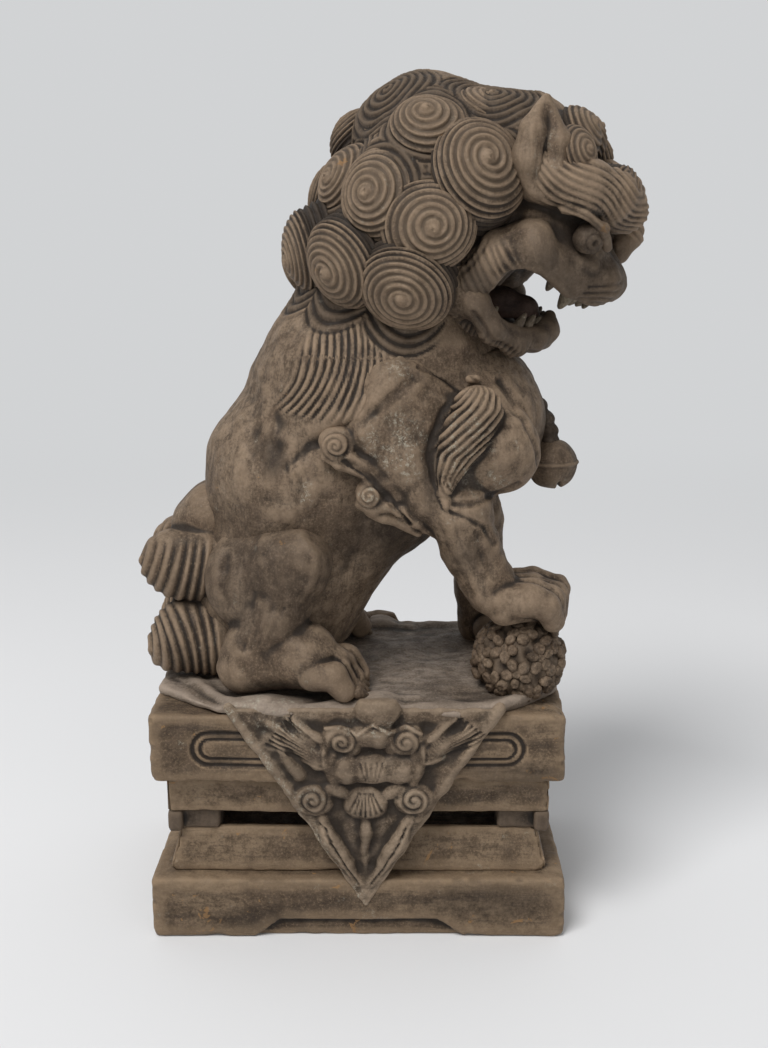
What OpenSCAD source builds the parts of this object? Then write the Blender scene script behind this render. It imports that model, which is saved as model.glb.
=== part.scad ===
// Guardian lion carved in wood, seated on a pierced plinth with a draped cloth.
// Units are millimetres, +Z is up and the lion looks along +X.
// The origin is the centre of the plinth's underside.

/* [Plinth] */
// Length of the top slab, along X
slab_l = 185; // [160:1:222]
// Depth of the top slab, along Y
slab_w = 122; // [112:1:150]
// Thickness of the top slab
slab_h = 32; // [24:0.5:40]
// How far the base slab stands out beyond the top slab on every side
base_out = 1.5; // [0:0.5:4]
// Thickness of the base slab
base_h = 29; // [22:0.5:38]
// Height of the sloping skirt boards
skirt_h = 20; // [14:0.5:26]
// Height of the pierced slot between skirt and rail
slot_h = 9.5; // [6:0.5:16]
// Height of the upper rails
rail_h = 17; // [12:0.5:22]
// How far the waist is set in from the top slab's faces
waist_in = 6; // [4.5:0.5:10]
// Thickness of the rails and of the skirt boards at their feet
board_t = 8; // [7:0.5:10]
// How far the skirt leans in between its foot and its top edge
skirt_lean = 5; // [2:0.5:6]
// Side of the square corner posts
post_w = 23; // [18:0.5:28]
// Width of the post's corner that shows beside the slot
stile_w = 6.5; // [6:0.5:8]
// How far the rest of the post is set back beside the slot
stile_back = 4; // [2:0.5:5]
// Radius of the slabs' upright corners
corner_r = 4; // [2:0.5:8]

/* [Cloth] */
// Thickness of the carved cloth on the top slab
cloth_t = 4.5; // [3:0.5:7]
// Width of the hanging drape where it leaves the top slab
drape_w = 123; // [100:1:140]
// Length of the hanging drape from the slab's top to its tip
drape_l = 92; // [70:1:104]
// Thickness of the drape boards behind their raised border
drape_t = 3; // [2:0.5:4]
// Height of the drape's raised border and carving
relief_h = 1.5; // [1:0.25:2]
// Width of the drape's raised border
border_w = 5; // [3:0.5:7]
// How far the drape is set forward of the plinth's centre
drape_x = 3; // [0:1:6]

/* [Lion] */
// Height of the lion from the cloth to the top of its mane
lion_h = 270; // [222:1:300]
// Turn of the head towards the lion's right, in degrees
head_turn = 18; // [12:1:22]
// Nod of the head, in degrees
head_nod = 25; // [21:1:28]
// Radius of the brocade ball under the right paw
ball_r = 21; // [17:0.5:22]
// Radius of the bell at the chest
bell_r = 12; // [9:0.5:15]
// Height that the mane's curls stand proud
curl_rise = 12; // [9:0.5:15]

/* [Joinery] */
// Diameter of the round pegs in the plinth
peg_d = 6; // [4:0.5:8]
// Length of the round pegs
peg_l = 24; // [16:1:30]
// Diameter of the ball's peg
ball_peg_d = 6; // [4:0.5:9]
// Side of the large square tenons in neck and seat
tenon_w = 20; // [12:1:26]
// Side of the small square tenons in legs, tail and foot
small_tenon_w = 9; // [6:0.5:12]
// Length of the large tenons
tenon_l = 34; // [24:1:40]
// Length of the small tenons
small_tenon_l = 22; // [16:1:26]
// Gap round every peg and tenon
fit_gap = 0.2; // [0.1:0.05:0.4]

/* [Hidden] */

far = 1000;                       // longer than anything in the model
waist_h = skirt_h + slot_h + rail_h;
slab_z = base_h + waist_h;        // underside of the top slab
cloth_z = slab_z + slab_h;        // top of the slab, underside of the cloth
seat_z = cloth_z + cloth_t;       // where the lion stands
base_l = slab_l + 2 * base_out;
base_w = slab_w + 2 * base_out;
waist_l = slab_l - 2 * waist_in;
waist_w = slab_w - 2 * waist_in;
rail_z = base_h + skirt_h + slot_h;
post_x = waist_l / 2 - (board_t + post_w) / 2;  // axes of the corner posts' pegs
post_y = waist_w / 2 - (board_t + post_w) / 2;
drape_y = slab_w / 2;             // back face of the drape boards
peg_gap_d = peg_d + 2 * fit_gap;

k = lion_h / 270;                 // the lion is drawn 270 mm tall and scaled by this
body_fn = 20;
limb_fn = 16;
neck_cut = 150;                   // height of the glue line between torso and head
head_at = [38, 0, 206];           // centre of the mane mass
ball_at = [73, -33, 12.5];
bell_at = [89, -6, 98];
seat_at = [-36, 0, 0];            // seat tenon under the rump
foot_at = [62, 36, 0];            // tenon under the left fore foot
shoulder_at = [30, 33, 114];      // middle of the flat shoulder joint, left side
hip_at = [-40, 30, 44];
tail_at = [-66, 0, 44];
ball_sink = 3.5;                  // depth of the ball's seat in the cloth
ball_flat_r = sqrt(pow(ball_r, 2) - pow(ball_r - 4.5, 2));

function on_lion(p) = [p.x * k, p.y * k, seat_z + p.z * k];
function flip(a) = [for (p = a) [p.x, -p.y, p.z, p[3]]];
function both(a) = concat(a, flip(a));

// A round lump of the carving: x, y, z and radius in the lion's own size
module lump(p) translate(on_lion(p)) sphere(r = p[3] * k);
module lumps(a) hull() for (p = a) lump(p);
module limb(a) for (i = [0 : len(a) - 2]) hull() { lump(a[i]); lump(a[i + 1]); }

// The head's own axes: x to the nose, z to the crown, at the mane's centre
module in_head() translate(on_lion(head_at)) rotate([0, head_nod, -head_turn]) children();
module knob(p) translate([p.x, p.y, p.z] * k) sphere(r = p[3] * k);
module knobs(a) hull() for (p = a) knob(p);
module ridge(a) for (i = [0 : len(a) - 2]) hull() { knob(a[i]); knob(a[i + 1]); }

module below(z) translate([-far / 2, -far / 2, z - far]) cube(far);
module above(z) translate([-far / 2, -far / 2, z]) cube(far);
module block(p, s) translate(p) cube(s, center = true);

// ---------------------------------------------------------------- plinth

module plate(l, w, h, r) {
    linear_extrude(height = h) {
        square([l - 2 * r, w], center = true);
        square([l, w - 2 * r], center = true);
        for (x = [-1, 1], y = [-1, 1])
            translate([x * (l / 2 - r), y * (w / 2 - r)]) circle(r = r, $fn = 48);
    }
}

module at_posts() for (x = [-1, 1], y = [-1, 1]) translate([x * post_x, y * post_y, 0]) children();

// Shallow apron with slanted ends, cut into one long or short side
module apron(l) {
    apron_h = base_h * 0.3;
    translate([0, 2.5, 0]) rotate([90, 0, 0]) linear_extrude(height = far)
        polygon([[-l / 2, -1], [l / 2, -1], [l / 2 - apron_h * 1.3, apron_h], [-l / 2 + apron_h * 1.3, apron_h]]);
}

module base_slab() color("#6b5a49") difference() {
    plate(base_l, base_w, base_h, corner_r);
    for (s = [0, 180]) rotate([0, 0, s]) {
        translate([0, -base_w / 2, 0]) apron(base_l * 0.56);
        rotate([0, 0, 90]) translate([0, -base_l / 2, 0]) apron(base_w * 0.56);
    }
    at_posts() translate([0, 0, base_h - peg_l / 2 - fit_gap]) cylinder(d = peg_gap_d, h = far, $fn = 48);
}

// One mitred board of the waist: its section stands in Y and Z, its outer face at y = -w / 2
module mitred(l, w, z, h, lean) {
    intersection() {
        translate([-l / 2, -w / 2, z]) rotate([90, 0, 90]) linear_extrude(height = l)
            polygon([[0, 0], [board_t, 0], [board_t, h], [lean, h], [lean * 0.45, h * 0.45]]);
        translate([0, 0, z - 1]) linear_extrude(height = h + 2)
            polygon([[-l / 2, -w / 2], [l / 2, -w / 2], [0, -w / 2 + l / 2]]);
    }
}

module skirt(l, w) color("#6e5c4a") mitred(l, w, base_h, skirt_h, skirt_lean);
module rail(l, w) color("#695746") mitred(l, w, rail_z, rail_h, 0);

module skirt_right() skirt(waist_l, waist_w);
module skirt_left() rotate([0, 0, 180]) skirt(waist_l, waist_w);
module skirt_front() rotate([0, 0, 90]) skirt(waist_w, waist_l);
module skirt_back() rotate([0, 0, -90]) skirt(waist_w, waist_l);
module rail_right() rail(waist_l, waist_w);
module rail_left() rotate([0, 0, 180]) rail(waist_l, waist_w);
module rail_front() rotate([0, 0, 90]) rail(waist_w, waist_l);
module rail_back() rotate([0, 0, -90]) rail(waist_w, waist_l);

// A square block in one corner of the waist, measured in from the waist's two outer faces
module corner_block(sx, sy, from, to, z, h)
    translate([sx * (waist_l / 2 - (from + to) / 2), sy * (waist_w / 2 - (from + to) / 2), z + h / 2])
        cube([to - from, to - from, h], center = true);

// A post stands behind the boards; beside the slots its corner comes forward as a stile
module post(sx, sy) color("#54463a") difference() {
    union() {
        corner_block(sx, sy, board_t, post_w, base_h, waist_h);
        corner_block(sx, sy, stile_back, post_w, base_h + skirt_h, slot_h);
        corner_block(sx, sy, 0, stile_w, base_h + skirt_h, slot_h);
    }
    translate([sx * post_x, sy * post_y, 0]) {
        translate([0, 0, base_h - 1]) cylinder(d = peg_gap_d, h = peg_l / 2 + fit_gap + 1, $fn = 48);
        translate([0, 0, slab_z - peg_l / 2 - fit_gap]) cylinder(d = peg_gap_d, h = far, $fn = 48);
    }
}

module post_front_right() post(1, -1);
module post_front_left() post(1, 1);
module post_back_right() post(-1, -1);
module post_back_left() post(-1, 1);

module base_pegs() color("#a08660") at_posts()
    translate([0, 0, base_h - peg_l / 2]) cylinder(d = peg_d, h = peg_l, $fn = 48);
module slab_pegs() color("#a08660") at_posts()
    translate([0, 0, slab_z - peg_l / 2]) cylinder(d = peg_d, h = peg_l, $fn = 48);

// A long oval, drawn flat
module oval(l, h) {
    square([l - h, h], center = true);
    for (s = [-1, 1]) translate([s * (l - h) / 2, 0]) circle(d = h, $fn = 48);
}

// Double rimmed cartouche, sunk in the slab's side face
module cartouche(l) translate([0, 1.2, 0]) rotate([90, 0, 0]) linear_extrude(height = far) {
    difference() { oval(l, 15); oval(l - 4, 11.5); }
    oval(l - 8, 8);
}

module top_slab() color("#6f5e4d") difference() {
    translate([0, 0, slab_z]) plate(slab_l, slab_w, slab_h, corner_r);
    for (s = [0, 180]) rotate([0, 0, s]) translate([0, 0, slab_z + slab_h / 2]) {
        translate([0, -slab_w / 2, 0]) cartouche(slab_l - 38);
        rotate([0, 0, 90]) translate([0, -slab_l / 2, 0]) cartouche(slab_w - 38);
    }
    at_posts() translate([0, 0, slab_z - 1]) cylinder(d = peg_gap_d, h = peg_l / 2 + fit_gap + 1, $fn = 48);
    seat_mortise();
    foot_mortise();
    ball_bore();
}

// ---------------------------------------------------------------- cloth

// The cloth lies cornerwise: its long corners hang as drapes, its short ones roll over the ends
module ground_cloth() color("#74675a") difference() {
    corner_y = slab_w * 0.28;
    translate([0, 0, cloth_z]) linear_extrude(height = cloth_t) polygon([
        [-slab_l / 2, -corner_y], [drape_x - drape_w / 2, -slab_w / 2], [drape_x + drape_w / 2, -slab_w / 2],
        [slab_l / 2, -corner_y], [slab_l / 2, corner_y],
        [drape_x + drape_w / 2, slab_w / 2], [drape_x - drape_w / 2, slab_w / 2], [-slab_l / 2, corner_y]]);
    translate([on_lion(ball_at).x, on_lion(ball_at).y, seat_z - ball_sink])
        cylinder(r = ball_flat_r + fit_gap, h = far, $fn = 64);
    seat_mortise();
    foot_mortise();
    ball_bore();
}

// The drape's outline in its own plane, the slab's top edge at y = 0
module drape_outline(w, l) polygon([[-w / 2, 0], [w / 2, 0], [w * 0.03, -l], [-w * 0.03, -l]]);

module drape(w, l) color("#6f6152") difference() {
    translate([drape_x, -drape_y, cloth_z + cloth_t]) rotate([90, 0, 0]) {
        linear_extrude(height = drape_t) drape_outline(w, l + cloth_t);
        linear_extrude(height = drape_t + relief_h) difference() {
            drape_outline(w, l + cloth_t);
            translate([0, -border_w]) drape_outline(w - 3.2 * border_w, l - 2.2 * border_w);
        }
        // lotus in the middle, seed head and petals
        translate([0, -l * 0.36]) linear_extrude(height = drape_t + relief_h) {
            circle(r = w * 0.09, $fn = 48);
            for (a = [-60 : 60 : 240]) rotate(a) translate([w * 0.12, 0]) circle(r = w * 0.055, $fn = 32);
        }
    }
    plate(base_l, base_w, base_h, corner_r);
}

module drape_right() drape(drape_w, drape_l);
module drape_left() mirror([0, 1, 0]) drape(drape_w, drape_l);

// ---------------------------------------------------------------- joinery of the lion

module tenon_block(w, l, gap) cube([w + 2 * gap, w + 2 * gap, l + 2 * gap], center = true);

module neck_joint(gap) translate(on_lion([22, 0, neck_cut])) tenon_block(tenon_w, tenon_l, gap);
module seat_joint(gap) translate([on_lion(seat_at).x, 0, seat_z]) tenon_block(tenon_w, tenon_l, gap);
module foot_joint(gap) translate([on_lion(foot_at).x, on_lion(foot_at).y, seat_z])
    tenon_block(small_tenon_w, small_tenon_l, gap);
module shoulder_joint(gap) for (s = [-1, 1])
    translate(on_lion([shoulder_at.x, s * shoulder_at.y, shoulder_at.z]))
        rotate([90, 0, 0]) tenon_block(small_tenon_w, small_tenon_l, gap);
module hip_joint(gap) for (s = [-1, 1])
    translate(on_lion([hip_at.x, s * hip_at.y, hip_at.z])) rotate([90, 0, 0]) tenon_block(small_tenon_w, small_tenon_l, gap);
module tail_joint(gap) translate(on_lion(tail_at)) rotate([0, 90, 0]) tenon_block(small_tenon_w, small_tenon_l, gap);

module seat_mortise() seat_joint(fit_gap);
module foot_mortise() foot_joint(fit_gap);
module ball_bore() translate([on_lion(ball_at).x, on_lion(ball_at).y, seat_z - peg_l / 2 - fit_gap])
    cylinder(d = ball_peg_d + 2 * fit_gap, h = peg_l + 2 * fit_gap, $fn = 48);

module neck_tenon() color("#a08660") neck_joint(0);
module seat_tenon() color("#a08660") seat_joint(0);
module shoulder_tenons() color("#a08660") shoulder_joint(0);
module hip_tenons() color("#a08660") hip_joint(0);
module tail_tenon() color("#a08660") tail_joint(0);
module foot_tenon() color("#a08660") foot_joint(0);
module ball_peg() color("#a08660") translate([on_lion(ball_at).x, on_lion(ball_at).y, seat_z - peg_l / 2])
    cylinder(d = ball_peg_d, h = peg_l, $fn = 48);
module bell_peg() color("#a08660") translate(on_lion(bell_at) - [bell_r + 8, 0, 0])
    rotate([0, 90, 0]) cylinder(d = 4, h = 14, $fn = 32);

// ---------------------------------------------------------------- lion: body and limbs

rump = [-38, 0, 38, 38];
loin = [-26, 0, 92, 41];
back = [-6, 0, 126, 42];
shoulders = [[14, -12, 126, 34], [14, 12, 126, 34]];
chest = [[47, -8, 118, 33], [47, 8, 118, 33]];
neck = [20, 0, 150, 36];
belly = [10, 0, 88, 29];
flank = [-22, 0, 60, 28];

// Trunk without its joints; grow thickens it all over
module trunk(grow) {
    $fn = body_fn;
    module thick(a) lumps([for (p = a) [p.x, p.y, p.z, p[3] + grow]]);
    thick([rump, loin]);
    thick([loin, back]);
    thick(concat([back], shoulders));
    thick(concat(shoulders, chest));
    thick(concat(chest, [neck]));
    thick(concat([back, neck], shoulders));
    thick([loin, belly]);
    thick(concat([belly], chest));
    thick([rump, flank]);
    thick([flank, belly]);
}

// Flat seats on the trunk for the two foreleg blocks, and the wall between trunk and leg
module shoulder_seats() for (s = [-1, 1])
    translate(on_lion([28, 0, 105])) translate([0, s * (shoulder_at.y * k + 40), 0]) cube([130 * k, 80, 88 * k], center = true);

module trunk_body() difference() {
    trunk(0);
    shoulder_seats();
    below(seat_z);
    above(on_lion([0, 0, neck_cut]).z);
}

module torso() color("#6d5c4b") difference() {
    trunk_body();
    neck_joint(fit_gap);
    seat_joint(fit_gap);
    shoulder_joint(fit_gap);
    hip_joint(fit_gap);
    tail_joint(fit_gap);
    translate(on_lion(bell_at) - [bell_r + 8 + fit_gap, 0, 0])
        rotate([0, 90, 0]) cylinder(d = 4 + 2 * fit_gap, h = 20, $fn = 12);
}

// Upper arm: shoulder, point of the shoulder, elbow
upper_arm = [[20, -32, 132, 22], [60, -31, 104, 20], [4, -38, 112, 12], [40, -37, 90, 18]];
right_leg = [[40, -37, 90, 18], [50, -37, 64, 12.5], [60, -35, 51, 12], [77, -34, 49, 9.5]];
left_leg = [[50, -35, 92, 18], [58, -36, 62, 13], [60, -36, 26, 12], [62, -36, 9, 12], [76, -36, 7, 9]];
paw_toes = [for (y = [-47, -38, -29, -21]) [[76, y * 0.85 - 5, 46, 7.5], [90, y, 37, 6]]];
fore_toes = [for (y = [-47, -39, -31, -24]) [[66, y, 7, 7], [82, y, 5, 5.5]]];

// The flank side of a leg block is flat where it meets the shoulder seat
module against_body() difference() {
    children();
    trunk_body();
    translate(on_lion([28, 0, 105])) cube([130 * k, 2 * shoulder_at.y * k, 88 * k], center = true);
    below(seat_z);
    above(on_lion([0, 0, neck_cut]).z);
}

module foreleg_right() color("#75654f") difference() {
    against_body() {
        $fn = limb_fn;
        lumps(upper_arm);
        limb(right_leg);
        for (t = paw_toes) limb(t);
        lumps([[-6, -42, 112, 8], [4, -38, 112, 12]]);
    }
    shoulder_joint(fit_gap);
    translate(on_lion(ball_at)) sphere(r = ball_r + fit_gap, $fn = 48);
}

module foreleg_left() color("#75654f") mirror([0, 1, 0]) difference() {
    against_body() {
        $fn = limb_fn;
        lumps(upper_arm);
        limb(left_leg);
        for (t = fore_toes) limb(t);
        lumps([[-6, -42, 112, 8], [4, -38, 112, 12]]);
    }
    shoulder_joint(fit_gap);
    mirror([0, 1, 0]) foot_mortise();
}

thigh = [[-44, -26, 48, 26], [-24, -40, 56, 14]];
shin = [[-24, -40, 56, 14], [-44, -42, 22, 14], [-50, -43, 13, 12]];
hind_foot = [[-50, -43, 13, 12], [-20, -45, 17, 14], [-12, -45, 12, 11]];
hind_toes = [for (y = [-56, -49, -42, -35]) [[-16, y, 10, 8], [-5, y, 6, 6.5]]];

module hindleg() difference() {
    union() {
        $fn = limb_fn;
        limb(thigh);
        limb(shin);
        limb(hind_foot);
        for (t = hind_toes) limb(t);
    }
    trunk_body();
    below(seat_z);
    hip_joint(fit_gap);
}

module hindleg_right() color("#6a5948") hindleg();
module hindleg_left() color("#6a5948") mirror([0, 1, 0]) hindleg();

// Two tiers of snail curls on each side of a smooth root
tail_root = [[-58, 0, 44, 20], [-66, 0, 68, 18], [-60, 0, 20, 20]];
tail_curls = [[-80, -13, 53, 18], [-77, -15, 19, 20]];

module tail() color("#6d5c4a") difference() {
    union() {
        $fn = body_fn;
        lumps(tail_root);
        for (s = [-1, 1], c = tail_curls) hull() {
            lump([c.x, s * c.y, c.z, c[3]]);
            lump([c.x - 10, s * (c.y - 5), c.z - 2, c[3] * 0.55]);
        }
        lumps([[-72, 0, 62, 18], [-68, 0, 20, 18]]);
        for (s = [-1, 1]) limb([[-58, 0, 70, 17], [-68, s * 6, 74, 14], [-75, s * 4, 68, 13]]);
    }
    trunk_body();
    hindleg_hulls();
    below(seat_z);
    tail_joint(fit_gap);
}

// Both hind legs' outer shape, cut from whatever stands against them
module hindleg_hulls() for (s = [0, 1]) mirror([0, s, 0]) {
    $fn = limb_fn;
    limb(thigh);
    limb(shin);
    limb(hind_foot);
}

// ---------------------------------------------------------------- ball, collar, bell

module brocade_ball() color("#5f5142") difference() {
    translate(on_lion(ball_at)) sphere(r = ball_r, $fn = 64);
    below(seat_z - ball_sink + 0.01);
    ball_bore();
}

module collar() color("#4c4035") difference() {
    intersection() {
        trunk(2.4);
        translate(on_lion([72, 0, 128])) rotate([0, 40, 0]) cube([far, far, 9], center = true);
        translate(on_lion([100, 0, 100])) cube([120 * k, 64 * k, far], center = true);
    }
    trunk(0);
    shoulder_seats();
    above(on_lion([0, 0, neck_cut]).z);
    translate(on_lion(bell_at)) sphere(r = bell_r + fit_gap, $fn = 32);
}

module collar_tassel() color("#3f352c") difference() {
    union() {
        $fn = limb_fn;
        limb([[83, -4, 122, 5], [86, -5, 116, 6], [88, -6, 109, 5]]);
    }
    trunk(2.4);
    translate(on_lion(bell_at)) sphere(r = bell_r + fit_gap, $fn = 32);
}

module bell() color("#584d42") difference() {
    translate(on_lion(bell_at)) sphere(r = bell_r, $fn = 64);
    translate(on_lion(bell_at) - [bell_r + 8, 0, 0]) rotate([0, 90, 0])
        cylinder(d = 4 + 2 * fit_gap, h = 14 + fit_gap, $fn = 32);
}

// ---------------------------------------------------------------- head

mane_mass = both([[-8, -20, 12, 31], [-16, -15, -20, 32]]);
crown = concat([[-20, 0, 25, 32], [18, 0, 38, 27]], both([[-8, -14, 22, 30]]));
skull = concat([[16, 0, 6, 34]], both([[44, -10, 14, 18]]));
brow = both([[42, -20, 48, 12], [58, -16, 40, 11], [66, -6, 34, 10], [70, -20, 28, 8]]);
muzzle = both([[50, -14, 14, 12], [72, -6, 8, 9]]);
cheek = [[30, -34, -12, 9], [35, -33, 4, 10], [46, -28, 11, 11], [60, -19, 6, 9], [73, -9, 4, 8]];
side_curls = [[-10, -42, 41, 17], [18, -51, 36, 21], [-16, -57, 3, 19], [12, -62, 0, 19], [-18, -57, -36, 18], [15, -61, -33, 20],
              [-42, -12, 43, 17], [-56, -18, 0, 18], [-56, -22, -40, 18]];
forehead_curls = [[46, -21, 54, 11], [62, -10, 48, 9]];
mouth = concat([[38, 0, -14, 14]], both([[60, -30, -14, 13], [86, -24, -16, 13]]));
eye_at = [58, -19, 25, 7];
ear_foot = [38, -33, 34];

// One snail curl: its tip at p, standing out from the mane's centre
module curl(p) {
    out = [p.x + 6, p.y, p.z] / norm([p.x + 6, p.y, p.z]);
    r = p[3] * k;
    rise = curl_rise * k;
    translate([p.x, p.y, p.z] * k - out * rise) rotate([0, acos(out.z), atan2(out.y, out.x)]) hull() {
        translate([0, 0, -rise * 0.7]) cylinder(r = r, h = rise * 0.8, $fn = 14);
        cylinder(r1 = r * 0.95, r2 = r * 0.35, h = rise, $fn = 14);
    }
}

module head_mass() {
    hull() {
        in_head() knobs([[-12, 0, -22, 36]]);
        for (p = both([[-6, -6, 140, 36], [26, -10, 150, 32]])) lump(p);
    }
    in_head() {
        knobs(mane_mass);
        knobs(crown);
        knobs(skull);
        knobs(brow);
        knobs(muzzle);
        ridge(cheek);
        ridge(flip(cheek));
        for (c = both(side_curls)) curl(c);
        for (c = both(forehead_curls)) knobs([c, [c.x - 10, c.y * 0.9, c.z - 8, c[3]]]);
    }
}

module eyeball(s) in_head() knob([eye_at.x, s * eye_at.y, eye_at.z, 6.2]);

module head_block() color("#6f5e4d") difference() {
    $fn = body_fn;
    head_mass();
    below(on_lion([0, 0, neck_cut]).z);
    in_head() {
        knobs(mouth);
        for (s = [-1, 1]) hull() {
            knob([eye_at.x, s * eye_at.y, eye_at.z, eye_at[3]]);
            knob([eye_at.x + 4, s * (abs(eye_at.y) + 8), eye_at.z, eye_at[3]]);
        }
    }
    neck_joint(fit_gap);
    jaw_body();
    ear_body(1);
    ear_body(-1);
}

jaw_rim = [[30, -33, -22, 8], [44, -27, -25, 7.5], [55, -15, -23, 7.5], [58, 0, -21, 8]];

bed_z = -25;                      // the tongue's flat bed, in the head's own axes

module jaw_body() difference() {
    in_head() {
        $fn = limb_fn;
        ridge(jaw_rim);
        ridge(flip(jaw_rim));
        knobs(concat([[51, 0, -30, 6], [34, 0, -33, 7]], both([[32, -24, -29, 7]])));
        knobs(both([[24, -28, -22, 8], [32, -32, -22, 8]]));
    }
    below(on_lion([0, 0, neck_cut]).z);
    in_head() translate([24, -13, bed_z] * k) cube([27, 26, 60] * k);
}

module lower_jaw() color("#65533f") jaw_body();

module ear_body(s) in_head() mirror([0, s < 0 ? 0 : 1, 0]) {
    $fn = 12;
    hull() {
        knob([40, -32, 30, 6]);
        knob([32, -35, 46, 8]);
        knob([26, -29, 62, 3]);
    }
}

module ear_right() color("#6a5947") ear_body(-1);
module ear_left() color("#6a5947") ear_body(1);
module eye_right() color("#5b4c3d") eye_cut(-1);
module eye_left() color("#5b4c3d") eye_cut(1);
module eye_cut(s) difference() {
    $fn = 16;
    eyeball(s);
    head_block();
}

// Fangs at the corners and a row of front teeth between them
module tooth(p, d, h, down) in_head() translate([p.x, p.y, p.z] * k) mirror([0, 0, down ? 1 : 0])
    cylinder(d1 = d * k, d2 = d * 0.5 * k, h = h * k, $fn = 10);

module upper_teeth() color("#a79b84") difference() {
    union() {
        for (s = [-1, 1]) tooth([66, s * 15, 0], 8, 9, true);
        for (y = [-9, -3, 3, 9]) tooth([72 - abs(y) * 0.3, y, -1], 6, 5, true);
    }
    head_block();
}

module lower_teeth() color("#a79b84") difference() {
    union() {
        for (s = [-1, 1]) tooth([53, s * 17, -24], 7, 11, false);
        for (y = [-9, -3, 3, 9]) tooth([60 - abs(y) * 0.25, y, -23], 6, 8, false);
    }
    jaw_body();
}

// The tongue lies on a flat bed cut in the jaw
module tongue() color("#6b4d3e") in_head() difference() {
    $fn = limb_fn;
    knobs([[37, 0, -20, 6], [46, 0, -21, 4.5], [40, 3, -20, 5], [40, -3, -20, 5]]);
    below(bed_z * k);
}

base_slab();
skirt_right();
skirt_left();
skirt_front();
skirt_back();
rail_right();
rail_left();
rail_front();
rail_back();
post_front_right();
post_front_left();
post_back_right();
post_back_left();
top_slab();
ground_cloth();
drape_right();
drape_left();
base_pegs();
slab_pegs();
torso();
head_block();
lower_jaw();
upper_teeth();
lower_teeth();
tongue();
ear_right();
ear_left();
eye_right();
eye_left();
foreleg_right();
foreleg_left();
hindleg_right();
hindleg_left();
tail();
brocade_ball();
collar();
collar_tassel();
bell();
neck_tenon();
seat_tenon();
shoulder_tenons();
hip_tenons();
tail_tenon();
foot_tenon();
ball_peg();
bell_peg();
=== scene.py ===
# %% [markdown]
# # A guardian lion carved in wood, on a pierced plinth
#
# The real statue is carved from several blocks of wood, glued and pegged, and stands on a plinth that is
# framed like a small table. This lesson builds its looks around a fixed model of the same pieces. Carved
# wood has soft swellings, sharp cuts and thousands of gouge strokes, so most pieces are worked as clay is:
# a distance field that lumps are added to and cuts are taken from, and that is skinned with small quads.

# %% Load the fixed model
import bpy
import math
import time
import numpy as np
from mathutils import Euler, Matrix, Vector


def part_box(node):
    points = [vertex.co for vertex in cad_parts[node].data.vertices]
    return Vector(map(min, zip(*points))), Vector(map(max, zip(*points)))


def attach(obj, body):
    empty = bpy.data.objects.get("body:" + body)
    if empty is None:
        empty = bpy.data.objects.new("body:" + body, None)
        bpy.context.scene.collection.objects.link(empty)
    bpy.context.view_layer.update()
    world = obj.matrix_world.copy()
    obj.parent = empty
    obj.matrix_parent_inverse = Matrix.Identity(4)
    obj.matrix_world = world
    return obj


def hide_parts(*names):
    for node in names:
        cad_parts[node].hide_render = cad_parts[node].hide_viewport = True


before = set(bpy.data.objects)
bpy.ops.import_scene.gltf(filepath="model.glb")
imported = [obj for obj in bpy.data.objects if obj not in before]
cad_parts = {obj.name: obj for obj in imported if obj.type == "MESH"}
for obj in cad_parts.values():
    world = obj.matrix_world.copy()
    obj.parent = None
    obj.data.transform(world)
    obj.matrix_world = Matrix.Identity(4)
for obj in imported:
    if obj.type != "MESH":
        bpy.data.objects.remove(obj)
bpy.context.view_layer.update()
started = time.time()

# %% [markdown]
# ## Places taken from the fixed model
#
# Everything below is in millimetres until a mesh is made. The plinth's boards, the ball and the bell give
# their boxes, and the lion's own lumps are counted from the cloth that it sits on.

# %% Places and sizes
MM = 0.001


def node_box(name):
    """Lowest and highest corner of a fixed piece, in millimetres."""
    low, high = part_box(name)
    return np.array(low) / MM, np.array(high) / MM


slab_low, slab_high = node_box("top_slab")
base_low, base_high = node_box("base_slab")
seat = node_box("ground_cloth")[1][2]
ball_low, ball_high = node_box("brocade_ball")
ball_radius = (ball_high[0] - ball_low[0]) / 2
ball_centre = np.array([*(ball_low + ball_high)[:2] / 2, ball_high[2] - ball_radius])
bell_low, bell_high = node_box("bell")
bell_centre = (bell_low + bell_high) / 2
print("the cloth is at", round(float(seat), 1), "mm")
print("the ball is at", ball_centre.round(1), "radius", round(float(ball_radius), 1))

# %% [markdown]
# ## The camera
#
# The camera stands a little above the lion and looks slightly down at its right side.

# %% Camera
CAMERA_AT = Vector((0.0116, -0.597, 0.323))
LOOK_DOWN = 13.5
SENSOR = 36.0
LENS = 44.6565

camera_data = bpy.data.cameras.new("camera")
camera_data.sensor_width = SENSOR
camera_data.sensor_fit = "AUTO"
camera_data.lens = LENS
camera_data.clip_start = 0.01
camera = bpy.data.objects.new("camera", camera_data)
camera.location = CAMERA_AT
camera.rotation_euler = (math.radians(90 - LOOK_DOWN), 0, 0)
bpy.context.scene.collection.objects.link(camera)
bpy.context.scene.camera = camera
print("camera with a", LENS, "mm lens, looking down by", LOOK_DOWN, "degrees")

# %% [markdown]
# ## Working clay in code
#
# A shape is a distance: below zero inside it, above zero outside. Adding a lump takes the smaller of two
# distances, cutting takes the larger of one and the other turned inside out, and a little blending at the
# join gives the soft fillet that a carver's gouge leaves. Each shape only touches the part of the grid that
# it reaches, so a piece with hundreds of strokes is still quick to work.

# %% Shapes
EMPTY = 30.0


class Shape:
    """A distance function and the box outside which it can be left out."""

    def __init__(self, low, high, distance):
        self.low = np.array(low, float)
        self.high = np.array(high, float)
        self.distance = distance


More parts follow.
